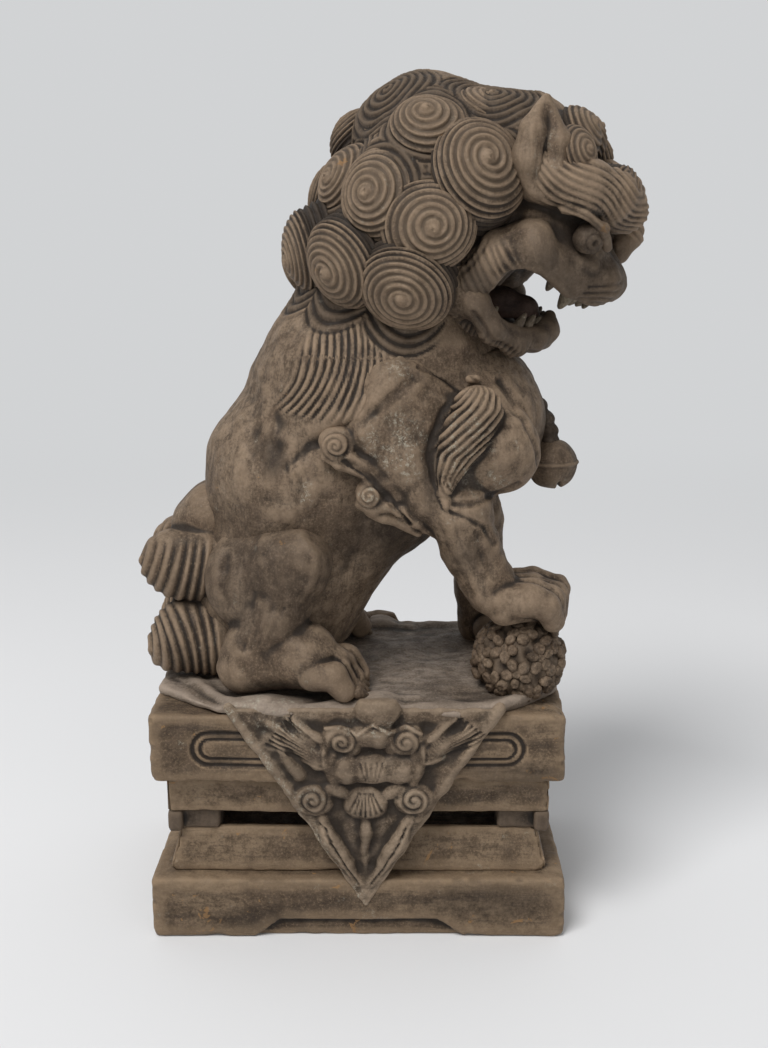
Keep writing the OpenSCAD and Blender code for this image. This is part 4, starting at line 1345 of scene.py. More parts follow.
upper_row = [(67, 15.5, 2, 8, 11), (67, -15.5, 2, 8, 11)]
upper_row += [(74 - abs(y) * 0.5, y, 1, 5.6, 7) for y in (-10, -5, 0, 5, 10)]
upper_row += [(59, 19 * s, 4, 6, 8) for s in (-1, 1)]
lower_row = [(53, 17, -25, 6, 10), (53, -17, -26, 6, 10)]
lower_row += [(60 - abs(y) * 0.35, y, -23, 5.0, 7) for y in (-11, -5.5, 0, 5.5, 11)]
lower_row += [(42, 23 * s, -24, 5, 6) for s in (-1, 1)]
teeth("upper_teeth", upper_row, -1, "upper_teeth")
teeth("lower_teeth", lower_row, 1, "lower_teeth")

tongue_clay = Clay((55, -24, 165), (104, 14, 205), 0.6)
tongue_clay.add(limb(*headed([(30, 0, -24, 8), (40, 0, -20, 7.5), (50, 0, -18, 6), (55, 0, -20, 4)])), 3)
tongue = Surface(tongue_clay)
# painted shade, with dirt, on the back of the tongue inside the mouth
tongue.shaded_and_dirtied((from_head((44, 0, -14)), (20, 20, 10), 0.6))
tongue.stroke([from_head((x, 0, z)) for x, z in ((30, -15), (42, -12), (52, -12))], 2.2, 1.2)
tongue.rough(8, 0.2, seed=14).finish()
put(lifted(tongue, LION), "tongue", tongue_paint, "tongue_paint", "tongue")

# %% Eyes and ears
EYE_RADIUS = 6.6


def eye(side):
    centre = from_head((EYE[0] + 1, EYE[1] * side, EYE[2]))
    clay = Clay(centre - 9, centre + 9, 0.4)
    clay.add(egg(centre, (EYE_RADIUS,) * 3), 1)
    look = HEAD_TURN @ np.array([0.66, -0.74 * side, -0.05])
    surface = Surface(clay)
    away = (surface.points - centre) @ look
    pupil = np.linalg.norm(surface.points - centre - look * EYE_RADIUS, axis=1)
    drilled = -1.5 * np.clip(1 - (pupil / 1.7) ** 2, 0, 1)
    surface.height += (away > 0) * (drilled - 0.5 * np.exp(-((pupil - 4.0) / 0.5) ** 2))
    # painted shade darkens the whole eye under the brow
    return surface.shaded_and_dirtied((centre, (12, 12, 12), 1.0)).rough(5, 0.12, seed=15).finish()


def ear(side):
    tip, base = np.array([24, -29, 65.0]), np.array([39, -32, 31.0])
    middle, reach = from_head((30, 0, 50)), np.array([34, 56, 34])
    clay = Clay(middle - reach, middle + reach, 0.7)

    def at(x, y, z, r):
        return headed([(x, y * side, z, r)])[0]

    clay.add(limb(at(40, -33, 33, 3.5), at(41, -31, 43, 6), at(37, -30, 54, 5.5), at(26, -30, 67, 1.5)), 2)
    clay.add(limb(at(37, -35, 33, 3.5), at(30, -38, 43, 6), at(27, -36, 54, 5.5), at(25, -31, 67, 1.5)), 2)
    clay.cut(limb(at(41, -42, 34, 1.5), at(39, -43, 45, 3.4), at(35, -40, 56, 2.8), at(26, -34, 66, 0.8)), 2)
    surface = Surface(clay)
    axis = from_head((tip[0], tip[1] * side, tip[2])) - from_head((base[0], base[1] * side, base[2]))
    facing = HEAD_TURN @ np.array([0.5, -0.85 * side, 0.1])
    surface.comb(from_head((34, -34 * side, 47)), axis, facing, 30, 20, pitch=4.2, depth=0.35)
    surface.painted((from_head((36, -38 * side, 48)), (8, 8, 16), 0.5))
    return surface.rough(12, 0.3, seed=16).finish()


for side, label in ((1, "right"), (-1, "left")):
    put(lifted(eye(side), LION), f"eye_{label}", lion_wood, "carved_wood", f"eye_{label}")
    put(lifted(ear(side), LION), f"ear_{label}", lion_wood, "carved_wood", f"ear_{label}")

# %% [markdown]
# ## Claws
#
# Short blunt claws end the toes; the same copies tree sets them.

# %% Claws
claw_one = cone_mesh("claw_one", 1.0, 0.5, 0.25, 0.12, lion_wood)
claws = []
for toe in paw_toes[:4]:
    x, y, z = toe[-1][:3]
    claws.append(((x + 1, y, z), (0.0, 0, -1.0), (6, 6, 8)))
for y in FORE_TOES:
    claws.append(((85, -y, 5.5), (0.9, 0, -0.45), (6, 6, 8)))
for y in HIND_TOES:
    for side in (1, -1):
        claws.append(((-1.5, y * side, 6), (0.85, 0, -0.55), (6.5, 6.5, 8)))
spots = [(np.array(p) + LION, standing(axis), size) for p, axis, size in claws]
settle(copies("claws", claw_one, spots, lion_wood, 0.08, seed=3), "carved_wood")

# %% [markdown]
# ## Ball, bell, collar and tassel
#
# The ball is covered with small raised flowers, petals round a bead, which are copies on points spread
# evenly over the sphere. The collar lies on the chest and carries a ribbed tassel above a round bell.

# %% Brocade ball
ball_clay = Clay(ball_centre - LION - 24, ball_centre - LION + 24, 0.8)
ball_clay.add(egg(ball_centre - LION, (ball_radius - 1.6,) * 3), 1)
ball_clay.rest_of((-FAR, -FAR, -3.4), (FAR, FAR, FAR))
ball = Surface(ball_clay).rough(6, 0.7, seed=17)
# the whole ball is darkened by the layer of shade and dirt
ball.shade_and_dirt += 0.7
ball.finish()
put(lifted(ball, LION), "brocade_ball", lion_wood, "carved_wood", "brocade_ball")


def petal_source(name):
    """A low oval petal with a worn dimple, 1 mm across."""
    points, faces = [(0, 0, 0.62 * 0.35)], []
    for r, z in ((0.3, 0.72), (0.62, 0.95), (0.85, 0.7), (1.0, 0.2), (0.95, -0.5)):
        for a in range(10):
            angle = a * math.pi / 5
            points.append((r * math.cos(angle) * 0.5, r * math.sin(angle) * 0.5, z * 0.35))
    faces += [(0, 1 + a, 1 + (a + 1) % 10) for a in range(10)]
    for k in range(1, 41, 10):
        for a in range(10):
            b = (a + 1) % 10
            faces.append((k + a, k + 10 + a, k + 10 + b, k + b))
    faces += [tuple(range(50, 40, -1))]
    mesh = bpy.data.meshes.new(name)
    mesh.from_pydata([tuple(c * MM for c in p) for p in points], [], faces)
    mesh.polygons.foreach_set("use_smooth", [True] * len(faces))
    mesh.materials.append(lion_wood)
    return bpy.data.objects.new(name, mesh)


spots = []
rng = np.random.default_rng(21)
golden = math.pi * (3 - math.sqrt(5))
FLOWERS = 30
for n in range(FLOWERS):
    z = 1 - 2 * (n + 0.5) / FLOWERS
    ring_r = math.sqrt(1 - z * z)
    out = np.array([ring_r * math.cos(golden * n), ring_r * math.sin(golden * n), z])
    frame_turn = standing(out, rng.uniform(0, 360))
    if out[2] * ball_radius < -13:
        continue
    spots.append((ball_centre + out * (ball_radius - 1.3), frame_turn, (4.4, 4.4, rng.uniform(3, 7))))
    for k in range(5):
        angle = math.radians(72 * k)
        side_dir = frame_turn @ np.array([math.cos(angle), math.sin(angle), 0])
        place = out * ball_radius + side_dir * rng.uniform(4.0, 5.2)
        place *= (ball_radius - 1.2) / np.linalg.norm(place)
        x_axis = side_dir - place * (side_dir @ place) / (place @ place)
        x_axis /= np.linalg.norm(x_axis)
        z_axis = place / np.linalg.norm(place)
        tilt = np.stack([x_axis, np.cross(z_axis, x_axis), z_axis], 1)
        size = (rng.uniform(5.6, 7.4), rng.uniform(4.2, 5.8), rng.uniform(3.8, 7.0))
        spots.append((ball_centre + place, tilt, size))
settle(copies("ball_flowers", petal_source("petal_one"), spots, lion_wood, 0.12, seed=2), "carved_wood")

# %% Bell, collar and tassel
bell_r = (bell_high[2] - bell_low[2]) / 2
bell_clay = Clay(bell_centre - LION - bell_r - 3, bell_centre - LION + bell_r + 3, 0.6)
bell_clay.add(egg(bell_centre - LION, (bell_r - 0.3,) * 3), 1)
bell = Surface(bell_clay)
c = bell_centre - LION
ring = [c + (bell_r * math.cos(a), bell_r * math.sin(a), 1) for a in np.linspace(0, 2 * math.pi, 40)]
bell.stroke(ring, 1.2, -0.8)
bell.stroke([c + (3, -9, -8), c + (3, 0, -12), c + (3, 9, -8)], 1.4, 2.0)
bell.rough(10, 0.3, seed=18)
# the whole bell is darkened by the layer of shade and dirt
bell.shade_and_dirt += 0.35
bell.finish()
put(lifted(bell, LION), "bell", lion_wood, "carved_wood", "bell")

slant = np.array([math.sin(math.radians(40)), 0, math.cos(math.radians(40))])
chest_points = torso.points - LION
on_plane = np.abs((chest_points - np.array([72, 0, 128])) @ slant) < 1.2
on_plane &= (chest_points[:, 0] > 44) & (np.abs(chest_points[:, 1]) < 32)
strap = []
for y in np.arange(-30, 31, 3.0):
    near = chest_points[on_plane & (np.abs(chest_points[:, 1] - y) < 1.8)]
    if len(near):
        strap.append(tuple(near.mean(0)))
collar_clay = Clay((36, -36, 96), (98, 36, 152), 0.7)
across = slant * 3.0
for shift in (-1, -0.33, 0.33, 1):
    collar_clay.add(limb(*[(*(np.array(p) + across * shift), 1.9) for p in strap]), 1)
collar_clay.rest_of((-FAR, -FAR, -FAR), (FAR, FAR, NECK_CUT))
collar = Surface(collar_clay)
for p in strap[1:-1]:
    collar.stroke([np.array(p) - across * 1.4 + (2, 0, 0), np.array(p) + across * 1.4 + (2, 0, 0)], 1.1, 0.5)
# the whole collar is darkened by the layer of shade and dirt
collar.shade_and_dirt += 0.6
collar.finish()
put(lifted(collar, LION), "collar", lion_wood, "carved_wood", "collar")

tassel_clay = Clay((72, -16, 98), (98, 6, 132), 0.5)
for x, y, z, r in ((82.5, -4, 125, 4.4), (85, -4.5, 119.5, 5.4), (87, -5, 114, 5.2), (88, -6, 109, 4.6)):
    tassel_clay.add(egg((x, y, z), (r, r * 1.15, 3.6), (0, 20, 0)), 1.2)
tassel = Surface(tassel_clay)
for n in range(7):
    a = math.radians(-60 + 20 * n)
    x, y = 5 * math.cos(a), 6 * math.sin(a)
    tassel.stroke([(83 + x, -4 + y, 128), (88 + x, -6 + y, 106)], 0.9, 0.5)
# the whole tassel is darkened by the layer of shade and dirt
tassel.shade_and_dirt += 1.0
tassel.finish()
put(lifted(tassel, LION), "collar_tassel", lion_wood, "dark_wood", "collar_tassel")

# %% [markdown]
# ## The plinth
#
# Two thick slabs with a framed waist between them. The boards were planed, and then a century of knocks has
# rounded every edge; each board is a soft-edged block whose faces wave a little. The lower slab has a
# shallow apron under each side, and the upper one a long oval cartouche.

# %% Plinth woods
plinth_wood = old_wood(
    "plinth_wood", (0.205, 0.143, 0.088), (0.110, 0.073, 0.044), (0.036, 0.023, 0.014), (7, 1.2, 1),
    chips=0.66)
plinth_end_wood = old_wood(
    "plinth_end_wood", (0.200, 0.140, 0.087), (0.108, 0.072, 0.044), (0.036, 0.023, 0.014), (1.2, 7, 1),
    chips=0.66)
dark_wood = old_wood(
    "dark_wood", (0.100, 0.071, 0.048), (0.062, 0.043, 0.029), (0.026, 0.018, 0.012), (1, 1, 7),
    stray_paint=0.1)
print("plinth woods ready")

# %% Slabs
def worn(surface, seed, knocks=40):
    """Wavy faces, and small knocks along the edges."""
    surface.rough(60, 0.35, seed=seed).rough(9, 0.12, seed=seed + 1)
    rng = np.random.default_rng(seed)
    low, high = surface.points.min(0), surface.points.max(0)
    for _ in range(knocks):
        spot = rng.uniform(low, high)
        near = rng.permutation(3)[:2]
        for axis in near:
            spot[axis] = low[axis] if rng.random() < 0.5 else high[axis]
        size = rng.uniform(1.5, 4.5)
        d = np.linalg.norm((surface.points - spot) / [1.6, 1.6, 1.0], axis=1)
        surface.height -= rng.uniform(0.3, 1.1) * np.clip(1 - (d / size) ** 2, 0, 1) ** 2
    return surface


def apron(clay, half_length, depth, side, end):
    """A shallow recess with slanted ends, under one side of the lower slab."""
    where = (base_low if side < 0 else base_high)[1 if not end else 0]
    inner = where - side * 2.5
    for shift in np.arange(0, depth, 1.0):
        reach = half_length - 1.3 * shift
        near, far = sorted((where + side * 9, inner))
        if end:
            low, high = (near, -reach, -9), (far, reach, shift + 1)
        else:
            low, high = (-reach, near, -9), (reach, far, shift + 1)
        clay.cut(rounded_box(low, high, 0.4), 0.3)


base_clay = Clay(base_low - 3, base_high + 3, 1.25)
base_clay.add(rounded_box(base_low, base_high, 2.0), 1)
for side in (-1, 1):
    apron(base_clay, 47, 8.5, side, end=False)
    apron(base_clay, 30, 8.5, side, end=True)
base_clay.rest_of((-FAR, -FAR, 0), (FAR, FAR, FAR))
base = worn(Surface(base_clay), 31, 90)
base.painted(((-88, -62, 10), (6, 5, 6), 0.8))
# darker patches low on the slab's near side
base.shaded_and_dirtied(((60, -64, 18), (44, 6, 14), 0.5), ((-50, -64, 10), (30, 6, 9), 0.4))
base.finish()
put(grounded(base), "base_slab", plinth_wood, "plinth_wood", "base_slab")

top_clay = Clay(slab_low - 3, slab_high + 3, 1.0)
top_clay.add(rounded_box(slab_low, slab_high, 2.2), 1)
top = worn(Surface(top_clay), 41, 90)
SLAB_MIDDLE = (slab_low[2] + slab_high[2]) / 2


def oval_path(half_length, half_height, middle):
    """A long oval in a side face: two straight runs and two round ends."""
    path = []
    for end in (1, -1):
        for k in range(13):
            a = math.radians(90 * end - 15 * k)
            x = end * (half_length - half_height) + half_height * math.cos(a)
            path.append((x, middle + half_height * math.sin(a)))
    return path + path[:1]


for side in (-1, 1):
    top.side_stroke(oval_path(73.5, 7.5, SLAB_MIDDLE), 1.5, 1.3, side)
    top.side_stroke(oval_path(70, 4.6, SLAB_MIDDLE), 1.3, 1.2, side)
    for half_length, half_height, width, depth in ((42, 7.5, 1.5, 1.3), (38.5, 4.6, 1.3, 1.2)):
        oval = oval_path(half_length, half_height, SLAB_MIDDLE)
        top.stroke([(0, y, z) for y, z in oval], width, depth, facing=(side, 0, 0))
# a darker patch on the slab's near side
top.shaded_and_dirtied(((70, -61, 80), (30, 6, 8), 0.5))
top.finish()
put(top, "top_slab", plinth_wood, "plinth_wood", "top_slab")

# %% Waist boards
SKIRT_LEAN = -0.24


def board(node, length, width, leaning, turn, wood, seed):
    """One mitred board, with a leaning outer face if it is part of the skirt."""
    low, high = node_box(node)
    z0, z1 = low[2], high[2]
    reach, face = length / 2, -width / 2
    clay = Clay((-reach - 2, face - 2, z0 - 2), (reach + 2, face + 12, z1 + 2), 1.15)
    clay.add(rounded_box((-reach - 5, face, z0), (reach + 5, face + 8, z1), 1.0), 1)
    if leaning:
        clay.cut(half((0, face, z0), (0, 1.0, SKIRT_LEAN)), 0.6)
    for end in (-1, 1):
        clay.cut(half((end * reach, face, 0), (-end, -1.0, 0)), 0.4)
        clay.cut(half((end * (reach - 0.2), 0, 0), (-end, 0, 0)), 0.4)
    surface = worn(Surface(clay), seed, 12)
    surface.finish()
    c, s = math.cos(math.radians(turn)), math.sin(math.radians(turn))
    surface.points = surface.points @ np.array([[c, s, 0], [-s, c, 0], [0, 0, 1]])
    put(surface, node, wood, "plinth_wood", node)


skirt_low, skirt_high = node_box("skirt_right")
waist_l = 2 * skirt_high[0]
waist_w = -2 * skirt_low[1]
for n, (label, length, width, turn, wood) in enumerate((
    ("right", waist_l, waist_w, 0, plinth_wood), ("left", waist_l, waist_w, 180, plinth_wood),
    ("front", waist_w, waist_l, 90, plinth_end_wood), ("back", waist_w, waist_l, -90, plinth_end_wood),
)):
    board(f"skirt_{label}", length, width, True, turn, wood, 50 + n)
    board(f"rail_{label}", length, width, False, turn, wood, 60 + n)

# %% Posts
def post(node):
    low, high = node_box(node)
    clay = Clay(low - 2, high + 2, 1.0)
    sx, sy = np.sign(low[0] + high[0]), np.sign(low[1] + high[1])
    outer = np.array([high[0] if sx > 0 else low[0], high[1] if sy > 0 else low[1]])
    rail_z = node_box("rail_right")[0][2]
    skirt_z = node_box("skirt_right")[1][2]

    def corner(start, end, z0, z1):
        a = outer - np.array([sx, sy]) * start
        b = outer - np.array([sx, sy]) * end
        return rounded_box((*np.minimum(a, b), z0), (*np.maximum(a, b), z1), 0.9)

    depth = abs(high[0] - low[0])
    clay.add(corner(8, depth, low[2], high[2]), 0.5)
    clay.add(corner(4, depth, skirt_z, rail_z), 0.5)
    clay.add(corner(0, 6.5, skirt_z, rail_z), 0.5)
    put(worn(Surface(clay), 70, 8).finish(), node, dark_wood, "dark_wood", node)


for label in ("front_right", "front_left", "back_right", "back_left"):
    post(f"post_{label}")

# %% [markdown]
# ## The cloth and its drapes
#
# The cloth is carved from wood as well: a thin sheet lying cornerwise on the slab, with soft folds. One corner
# hangs over each long side as a drape, carved with a lotus, fans of leaves and scrolls inside a raised hem.

# %% Cloth
CLIP_Y = 34
draped_cloth = old_wood(
    "draped_cloth", (0.240, 0.178, 0.122), (0.138, 0.095, 0.060), (0.040, 0.026, 0.016), (3, 1.5, 1),
    chips=0.74)
# the cloth's top is paler and greyer than the drape: a greyer tone, and painted light on its upward face
cloth_top_wood = old_wood(
    "cloth_top_wood", (0.262, 0.208, 0.162), (0.165, 0.124, 0.090), (0.056, 0.040, 0.028), (4, 2, 1),
    chips=0.80)
cloth_low, cloth_high = node_box("ground_cloth")
drape_low, drape_high = node_box("drape_right")
DRAPE_X = (drape_low[0] + drape_high[0]) / 2
HEM_X = (drape_high[0] - drape_low[0]) / 2

cloth_clay = Clay(cloth_low - (4, 6, 3), cloth_high + (4, 6, 6), 1.1)
cloth_clay.add(rounded_box(cloth_low + (0.5, 0.5, 0), cloth_high - (0.5, 0.5, 0), 2.1), 1)
run = (cloth_high[0] - HEM_X, cloth_high[1] - CLIP_Y)
for sx in (-1, 1):
    for sy in (-1, 1):
        clip = (sx * cloth_high[0], sy * CLIP_Y, 0)
        normal = np.array([-sx * run[1], -sy * run[0], 0]) / math.hypot(*run)
        cloth_clay.cut(half(clip, normal), 2)
for sy in (-1, 1):
    edge = cloth_high[1] * sy
    cloth_clay.add(egg((DRAPE_X + 6, edge - sy * 4, cloth_high[2] - 3.0), (10, 9, 6.5)), 3)
    cloth_clay.add(egg((-34, edge - sy * 5, cloth_high[2] - 2.2), (17, 8, 4)), 3)
    cloth_clay.add(egg((40, edge - sy * 3, cloth_high[2] - 2.6), (16, 6, 3.6)), 3)
cloth = Surface(cloth_clay)
rise = fade(cloth.normals[:, 2], 0.2, 0.8)
cloth_x, cloth_y = cloth.points[:, 0], cloth.points[:, 1]
wave = np.sin(cloth_x / 9.0 + 0.8 * np.sin(cloth_y / 17)) * fade(np.abs(cloth_y), CLIP_Y, 56)
cloth.height += rise * 0.9 * wave
for path in (
    [(-90, 0, 0), (-66, -44, 0), (-52, -62, 0)], [(-86, -20, 0), (-60, -52, 0), (-40, -58, 0)],
    [(-20, -60, 0), (0, -50, 0), (26, -52, 0)], [(88, -22, 0), (74, -50, 0), (62, -60, 0)],
):
    for sy in (1, -1):
        cloth.stroke([(x, y * sy, z) for x, y, z in path], 4, -1.0, facing=(0, 0, 1))
cloth.rough(30, 0.6, seed=80).rough(9, 0.18, seed=81)
cloth.painted(((-38, -58, 110), (26, 8, 8), 0.8))
# painted shadow, with dirt, on the cloth under the haunch and round the paw and ball
cloth.shaded_and_dirtied(((-30, -44, 112), (44, 18, 6), 0.55), ((73, -33, 112), (24, 22, 6), 0.7))
cloth.finish()
put(cloth, "ground_cloth", cloth_top_wood, "draped_cloth", "ground_cloth")

# %% Drape
FACE = float(drape_low[1]) + 2.2
BACK_FACE = -float(slab_high[1])
HEM_TOP = float(cloth_high[2])
TIP = (3.3, float(drape_low[2]))
HEM_IN = 2.6


def leaf(a, b, radius):
    """A raised leaf between two points (x, z) of the drape, thick at a and thin at b."""
    return bone((a[0], FACE + 0.6, a[1]), radius, (b[0], FACE + 1.0, b[1]), radius * 0.35)


def swell(x, z, rx, rz, proud, turn=0):
    return egg((x, FACE + 0.4, z), (rx * 1.12, proud * 1.3, rz * 1.1), (0, turn, 0))


def raised(*lumps):
    """Lumps (x, depth behind the drape's face, z, radius) joined one after another."""
    return limb(*[(x, FACE + deep, z, r) for x, deep, z, r in lumps])


DRAPE_SWELLS = [
    # the lotus's hood with its scalloped edge
    ((-7, 97, 9, 6, 3.6, 25), 0.8), ((7, 100, 10, 6, 4.2), 0.8), ((21, 97, 9, 6, 3.6, -25), 0.8),
    ((9, 111, 9, 8, 4.4), 1.2),
    # its three inner petals
    ((6, 84, 9.5, 6.5, 4.6), 0.5), ((-5, 84, 6.5, 7.0, 3.8, -25), 0.5), ((18, 84, 7.5, 7.0, 3.8, 25), 0.5),
]
DRAPE_SHELL = [(3.5, 67.5, 9, 7.5, 4.0), (-9, 73, 6, 3.2, 2.8, 20), (16, 73, 6, 3.2, 2.8, -20)]
CUPS = [
    [(-10, 1.2, 78, 3.2), (-13, 0.8, 86, 3.8), (-10, 0.6, 92, 3.2), (-7, 1.2, 91, 1.8)],
    [(24, 1.2, 78, 3.2), (27, 0.8, 85, 3.8), (25, 0.6, 91, 3.2), (22, 1.2, 91, 1.8)],
]
FANS = [
    ((31, 92), (57, 106), 5.2), ((31, 90), (50, 100), 5.2), ((33, 98), (46, 109), 4.6),
    ((-17, 92), (-42, 107), 5.2), ((-17, 88), (-34, 97), 5.0), ((-18, 97), (-32, 109), 4.6),
]
LONG_LEAVES = [
    [(-16, 0.4, 60, 2.4), (-12, -0.2, 50, 4.4), (-5, 0, 38, 3.6), (0.5, 1.0, 28, 1.4)],
    [(23, 0.4, 60, 2.4), (18.5, -0.2, 50, 4.4), (11.5, 0, 38, 3.6), (6, 1.0, 28, 1.4)],
]
STALK = [(3, 0, 62, 1.8), (3.6, -0.2, 53, 3.0), (3, 0.2, 44, 1.8), (3.4, 0.6, 36, 1.2)]


def drape_hem(clay, start, end, sign):
    """Clips the board along one slanted edge and lays a raised hem inside it."""
    run = np.array([end[0] - start[0], end[1] - start[1]])
    normal = np.array([run[1], -run[0]]) * -sign
    normal /= np.linalg.norm(normal)
    if normal @ (np.array([TIP[0], HEM_TOP]) - start) > 0:
        normal = -normal
    clay.cut(half((start[0], 0, start[1]), (-normal[0], 0, -normal[1])), 0.8)
    a = np.array(start) + normal * -HEM_IN
    b = np.array(end) + normal * -HEM_IN + np.array([0, 3.0])
    clay.add(bone((a[0], FACE + 1.6, a[1] - 2), 2.9, (b[0], FACE + 1.6, b[1] + 2), 2.4), 0.8)


def drape_lotus(clay):
    """The lotus in relief, the fans of leaves beside it and the long leaves down to the tip."""
    for spot, blend in DRAPE_SWELLS:
        clay.add(swell(*spot), blend)
    for cup in CUPS:
        clay.add(raised(*cup), 0.5)
    for spot in DRAPE_SHELL:
        clay.add(swell(*spot), 0.5)
    for x, flip in ((-20, 1), (25, -1)):
        clay.add(swell(x, 69, 8.5, 7.0, 3.4), 0.5)
        clay.add(raised((x + 7 * flip, 1.4, 66, 2.2), (x, 1.0, 62.5, 2.0), (x - 6 * flip, 1.2, 65, 1.5)), 0.5)
    for start, end, radius in FANS:
        clay.add(leaf(start, end, radius), 1.0)
    clay.add(raised((-36, 1.4, 98, 2.4), (-31, 1.0, 88, 2.8), (-26, 0.8, 81, 3.4)), 0.6)
    for long_leaf in LONG_LEAVES:
        clay.add(raised(*long_leaf), 0.5)
    clay.add(raised(*STALK), 0.4)


def drape_marks(cover):
    """Whorls, veins and the hood's edge."""
    for x, hand in ((-20, 1), (25, -1)):
        cover.whorl((x, FACE - 4, 69.5), (0, -1, 0), 8.5, pitch=3.4, depth=1.0, hand=hand, soft=2.5)
    for x, hand in ((-7, 1), (21, -1)):
        cover.whorl((x, FACE - 4, 97), (0, -1, 0), 8.0, pitch=3.2, depth=0.8, hand=hand, soft=2.5)
    for n in range(9):
        vein = [(30, 88 + n * 0.9), (44 + n * 0.2, 92 + n * 1.9), (58 - n * 2.0, 98 + n * 1.5)]
        cover.side_stroke(vein, 1.0, 0.8)
        vein = [(-16, 86 + n * 1.2), (-28 - n * 0.2, 90 + n * 2.0), (-40 + n * 1.4, 95 + n * 1.8)]
        cover.side_stroke(vein, 1.0, 0.8)
    for n in range(7):
        spread = n - 3
        cover.side_stroke([(3.5 + spread * 1.1, 73), (3.5 + spread * 2.4, 61.5 + abs(spread) * 0.9)], 0.8, 0.8)
    for n in range(5):
        spread = n - 2
        cover.side_stroke([(6 + spread * 1.2, 79), (6 + spread * 2.6, 88)], 0.7, 0.5)
    cover.carved(
        -1,
        ([(-14, 103), (-7, 104), (0, 101), (7, 106), (14, 101.5), (21, 104), (28, 101)], 1.1, -0.9),
        ([(-14.5, 56), (-11, 47), (-5, 36), (0, 28)], 1.0, 0.9),
        ([(21.5, 56), (17.5, 47), (11.5, 36), (6, 28)], 1.0, 0.9),
    )
    for n in range(6):
        z = 55 - 4.5 * n
        cover.side_stroke([(-13.5 + 2.1 * n, z), (-17 + 2.4 * n, z + 3)], 0.8, 0.5)
        cover.side_stroke([(20 - 2.1 * n, z), (23 - 2.4 * n, z + 3)], 0.8, 0.5)


def drape_paint(cover):
    """Old paint along the left hem and on the leaves, and painted shade with dirt in the deep places."""
    drop, run = HEM_TOP - TIP[1], TIP[0] - DRAPE_X + HEM_X
    edge = (cover.points[:, 0] - (DRAPE_X - HEM_X)) * drop - (HEM_TOP - cover.points[:, 2]) * run
    edge = np.abs(edge) / math.hypot(drop, run)
    cover.paint = np.maximum(cover.paint, 0.95 * fade(4.5 - edge, 0, 2))
    cover.painted(
        ((7, -66, 104), (24, 6, 5), 0.95), ((-34, -66, 104), (17, 6, 9), 0.85),
        ((-22, -66, 70), (10, 6, 9), 0.8), ((24, -66, 72), (8, 6, 8), 0.3),
    )
    # painted shade, with dirt, in the deep places of the carving
    for x, z, rx, rz in ((-12, 70, 26, 14), (18, 92, 30, 8), (4, 44, 14, 16), (-30, 86, 12, 10)):
        cover.shaded_and_dirtied(((x, FACE, z), (rx, 9, rz), 0.4))


def drape(side):
    clay = Clay((-66, -70, 13), (70, -58, 116), 0.75)
    left, right = (DRAPE_X - HEM_X, HEM_TOP), (DRAPE_X + HEM_X, HEM_TOP)
    clay.add(rounded_box((left[0], FACE, TIP[1]), (right[0], BACK_FACE, HEM_TOP - 0.5), 1.0), 0.5)
    drape_hem(clay, left, TIP, 1)
    drape_hem(clay, right, TIP, -1)
    drape_lotus(clay)
    clay.cut(half((0, BACK_FACE, 0), (0, -1, 0)), 0.1)
    cover = Surface(clay)
    drape_marks(cover)
    drape_paint(cover)
    cover.rough(12, 0.35, seed=90).rough(5, 0.15, seed=91)
    cover.finish()
    return mirrored(cover) if side > 0 else cover


put(drape(-1), "drape_right", draped_cloth, "draped_cloth", "drape_right")
put(drape(1), "drape_left", draped_cloth, "draped_cloth", "drape_left")

# %% [markdown]
# ## Pegs and tenons
#
# The pegs and tenons inside the joints stay as the fixed model has them, in bare wood.

# %% Bare wood
def bare_wood():
    r = Recipe("bare_peg")
    rings = r.noise(1.4, stretch=(1, 1, 8), detail=3, bend=0.4)
    clouds = r.noise(6, detail=3, shift=4.0)
    colour = r.mix(r.ramp(rings, 0.35, 0.65), (0.42, 0.29, 0.16), (0.30, 0.19, 0.10))
    colour = r.mix(r.ramp(clouds, 0.4, 0.7, 0, 0.5), colour, (0.22, 0.14, 0.08))
    r.feed(r.shader.inputs["Base Color"], colour)
    r.feed(r.shader.inputs["Roughness"], r.ramp(clouds, 0.3, 0.7, 0.6, 0.8))
    r.feed(r.shader.inputs["Normal"], r.bump(rings, 0.0003, 0.5))
    return r.material


peg_wood = bare_wood()
for name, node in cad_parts.items():
    if not node.hide_render:
        node.data.materials.clear()
        node.data.materials.append(peg_wood)
        print("kept from the fixed model:", name)

# %% [markdown]
# ## Floor and light
#
# A pale floor and a soft light from the upper left and front, as in a small studio.

# %% Floor and lights
SKY = (0.97, 0.985, 1.0)
ROOM_BRIGHT = 0.66


class FloorFade:
    """Nodes that fade the floor towards the colour of the room behind it, so that no edge shows."""

    def __init__(self, tree):
        self.tree = tree
        spot = tree.nodes.new("ShaderNodeTexCoord")
        self.split = tree.nodes.new("ShaderNodeSeparateXYZ")
        tree.links.new(spot.outputs["Object"], self.split.inputs[0])

    def ramp(self, start, end):
        node = self.tree.nodes.new("ShaderNodeMapRange")
        node.interpolation_type = "SMOOTHSTEP"
        self.tree.links.new(self.split.outputs["Y"], node.inputs["Value"])
        node.inputs["From Min"].default_value = start
        node.inputs["From Max"].default_value = end
        return node.outputs["Result"]

    def blend(self, factor, a, b, target):
        node = self.tree.nodes.new("ShaderNodeMix")
        node.data_type = "RGBA"
        self.tree.links.new(factor, node.inputs[0])
        node.inputs[6].default_value = (*a, 1)
        node.inputs[7].default_value = (*b, 1)
        self.tree.links.new(node.outputs[2], target)


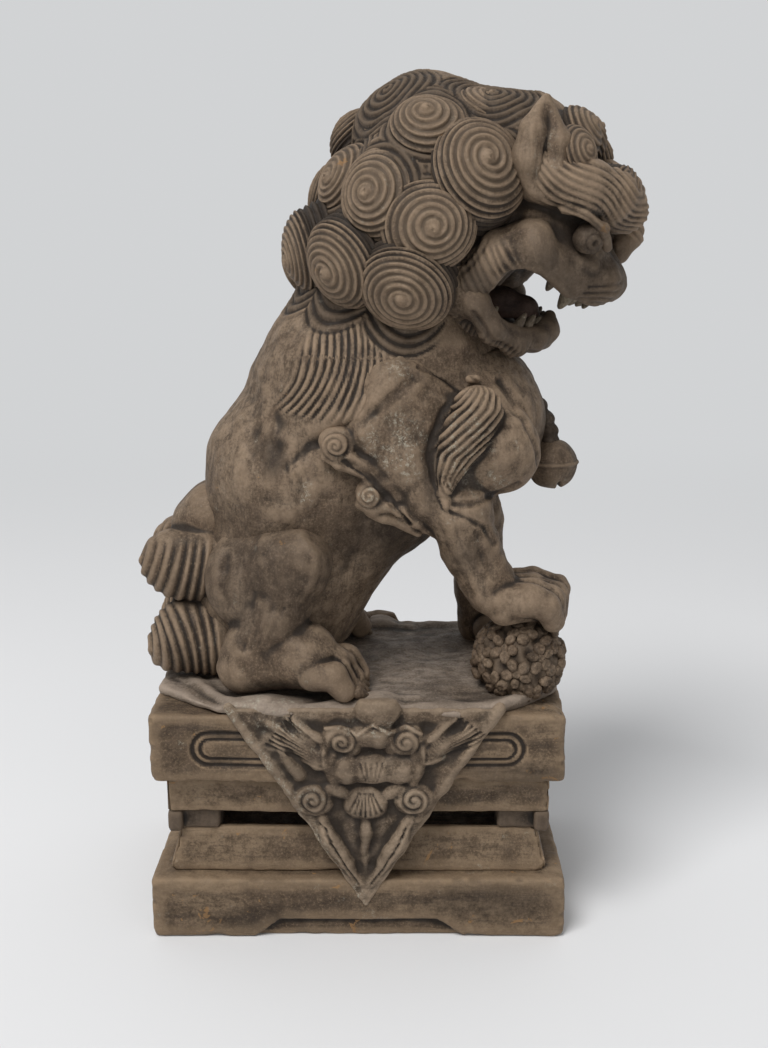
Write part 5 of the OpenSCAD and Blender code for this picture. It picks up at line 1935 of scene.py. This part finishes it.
def studio():
    mesh = bpy.data.meshes.new("floor")
    mesh.from_pydata([(-6, -6, 0), (6, -6, 0), (6, 6, 0), (-6, 6, 0)], [], [(0, 1, 2, 3)])
    floor = bpy.data.objects.new("floor", mesh)
    bpy.context.scene.collection.objects.link(floor)
    material = bpy.data.materials.new("floor_paper")
    material.use_nodes = True
    shader = material.node_tree.nodes["Principled BSDF"]
    shader.inputs["Roughness"].default_value = 1.0
    shader.inputs["Specular IOR Level"].default_value = 0.0
    r = FloorFade(material.node_tree)
    near = r.ramp(0.2, 1.3)
    r.blend(near, (0.73, 0.73, 0.735), (0, 0, 0), shader.inputs["Base Color"])
    r.blend(near, (0, 0, 0), tuple(c * ROOM_BRIGHT for c in SKY), shader.inputs["Emission Color"])
    shader.inputs["Emission Strength"].default_value = 1.0
    mesh.materials.append(material)
    world = bpy.data.worlds.new("studio")
    world.use_nodes = True
    world.node_tree.nodes["Background"].inputs["Color"].default_value = (*SKY, 1)
    # the room is bright behind the statue and dim in front of it, so that the window light shapes the carving
    nodes = world.node_tree.nodes
    direction = nodes.new("ShaderNodeSeparateXYZ")
    world.node_tree.links.new(nodes.new("ShaderNodeTexCoord").outputs["Generated"], direction.inputs[0])
    dim = nodes.new("ShaderNodeMapRange")
    dim.interpolation_type = "SMOOTHSTEP"
    dim.inputs["From Min"].default_value = -0.1
    dim.inputs["From Max"].default_value = 0.4
    dim.inputs["To Min"].default_value = 0.28
    dim.inputs["To Max"].default_value = ROOM_BRIGHT
    world.node_tree.links.new(direction.outputs["Y"], dim.inputs["Value"])
    world.node_tree.links.new(dim.outputs["Result"], nodes["Background"].inputs["Strength"])
    bpy.context.scene.world = world
    for name, place, aim, size, power in (
        ("window", (-1.1, -1.6, 2.9), (0, 0, 0.2), 1.5, 98.0),
        ("front", (0.6, -1.5, 0.9), (0, 0, 0.2), 1.2, 4.0),
    ):
        light = bpy.data.lights.new(name, "AREA")
        light.size = size
        light.energy = power
        lamp = bpy.data.objects.new(name, light)
        lamp.location = place
        lamp.rotation_euler = (Vector(aim) - Vector(place)).to_track_quat("-Z", "Y").to_euler()
        bpy.context.scene.collection.objects.link(lamp)


studio()
bpy.context.scene.view_settings.view_transform = "Standard"
print("floor, room and two lights ready")
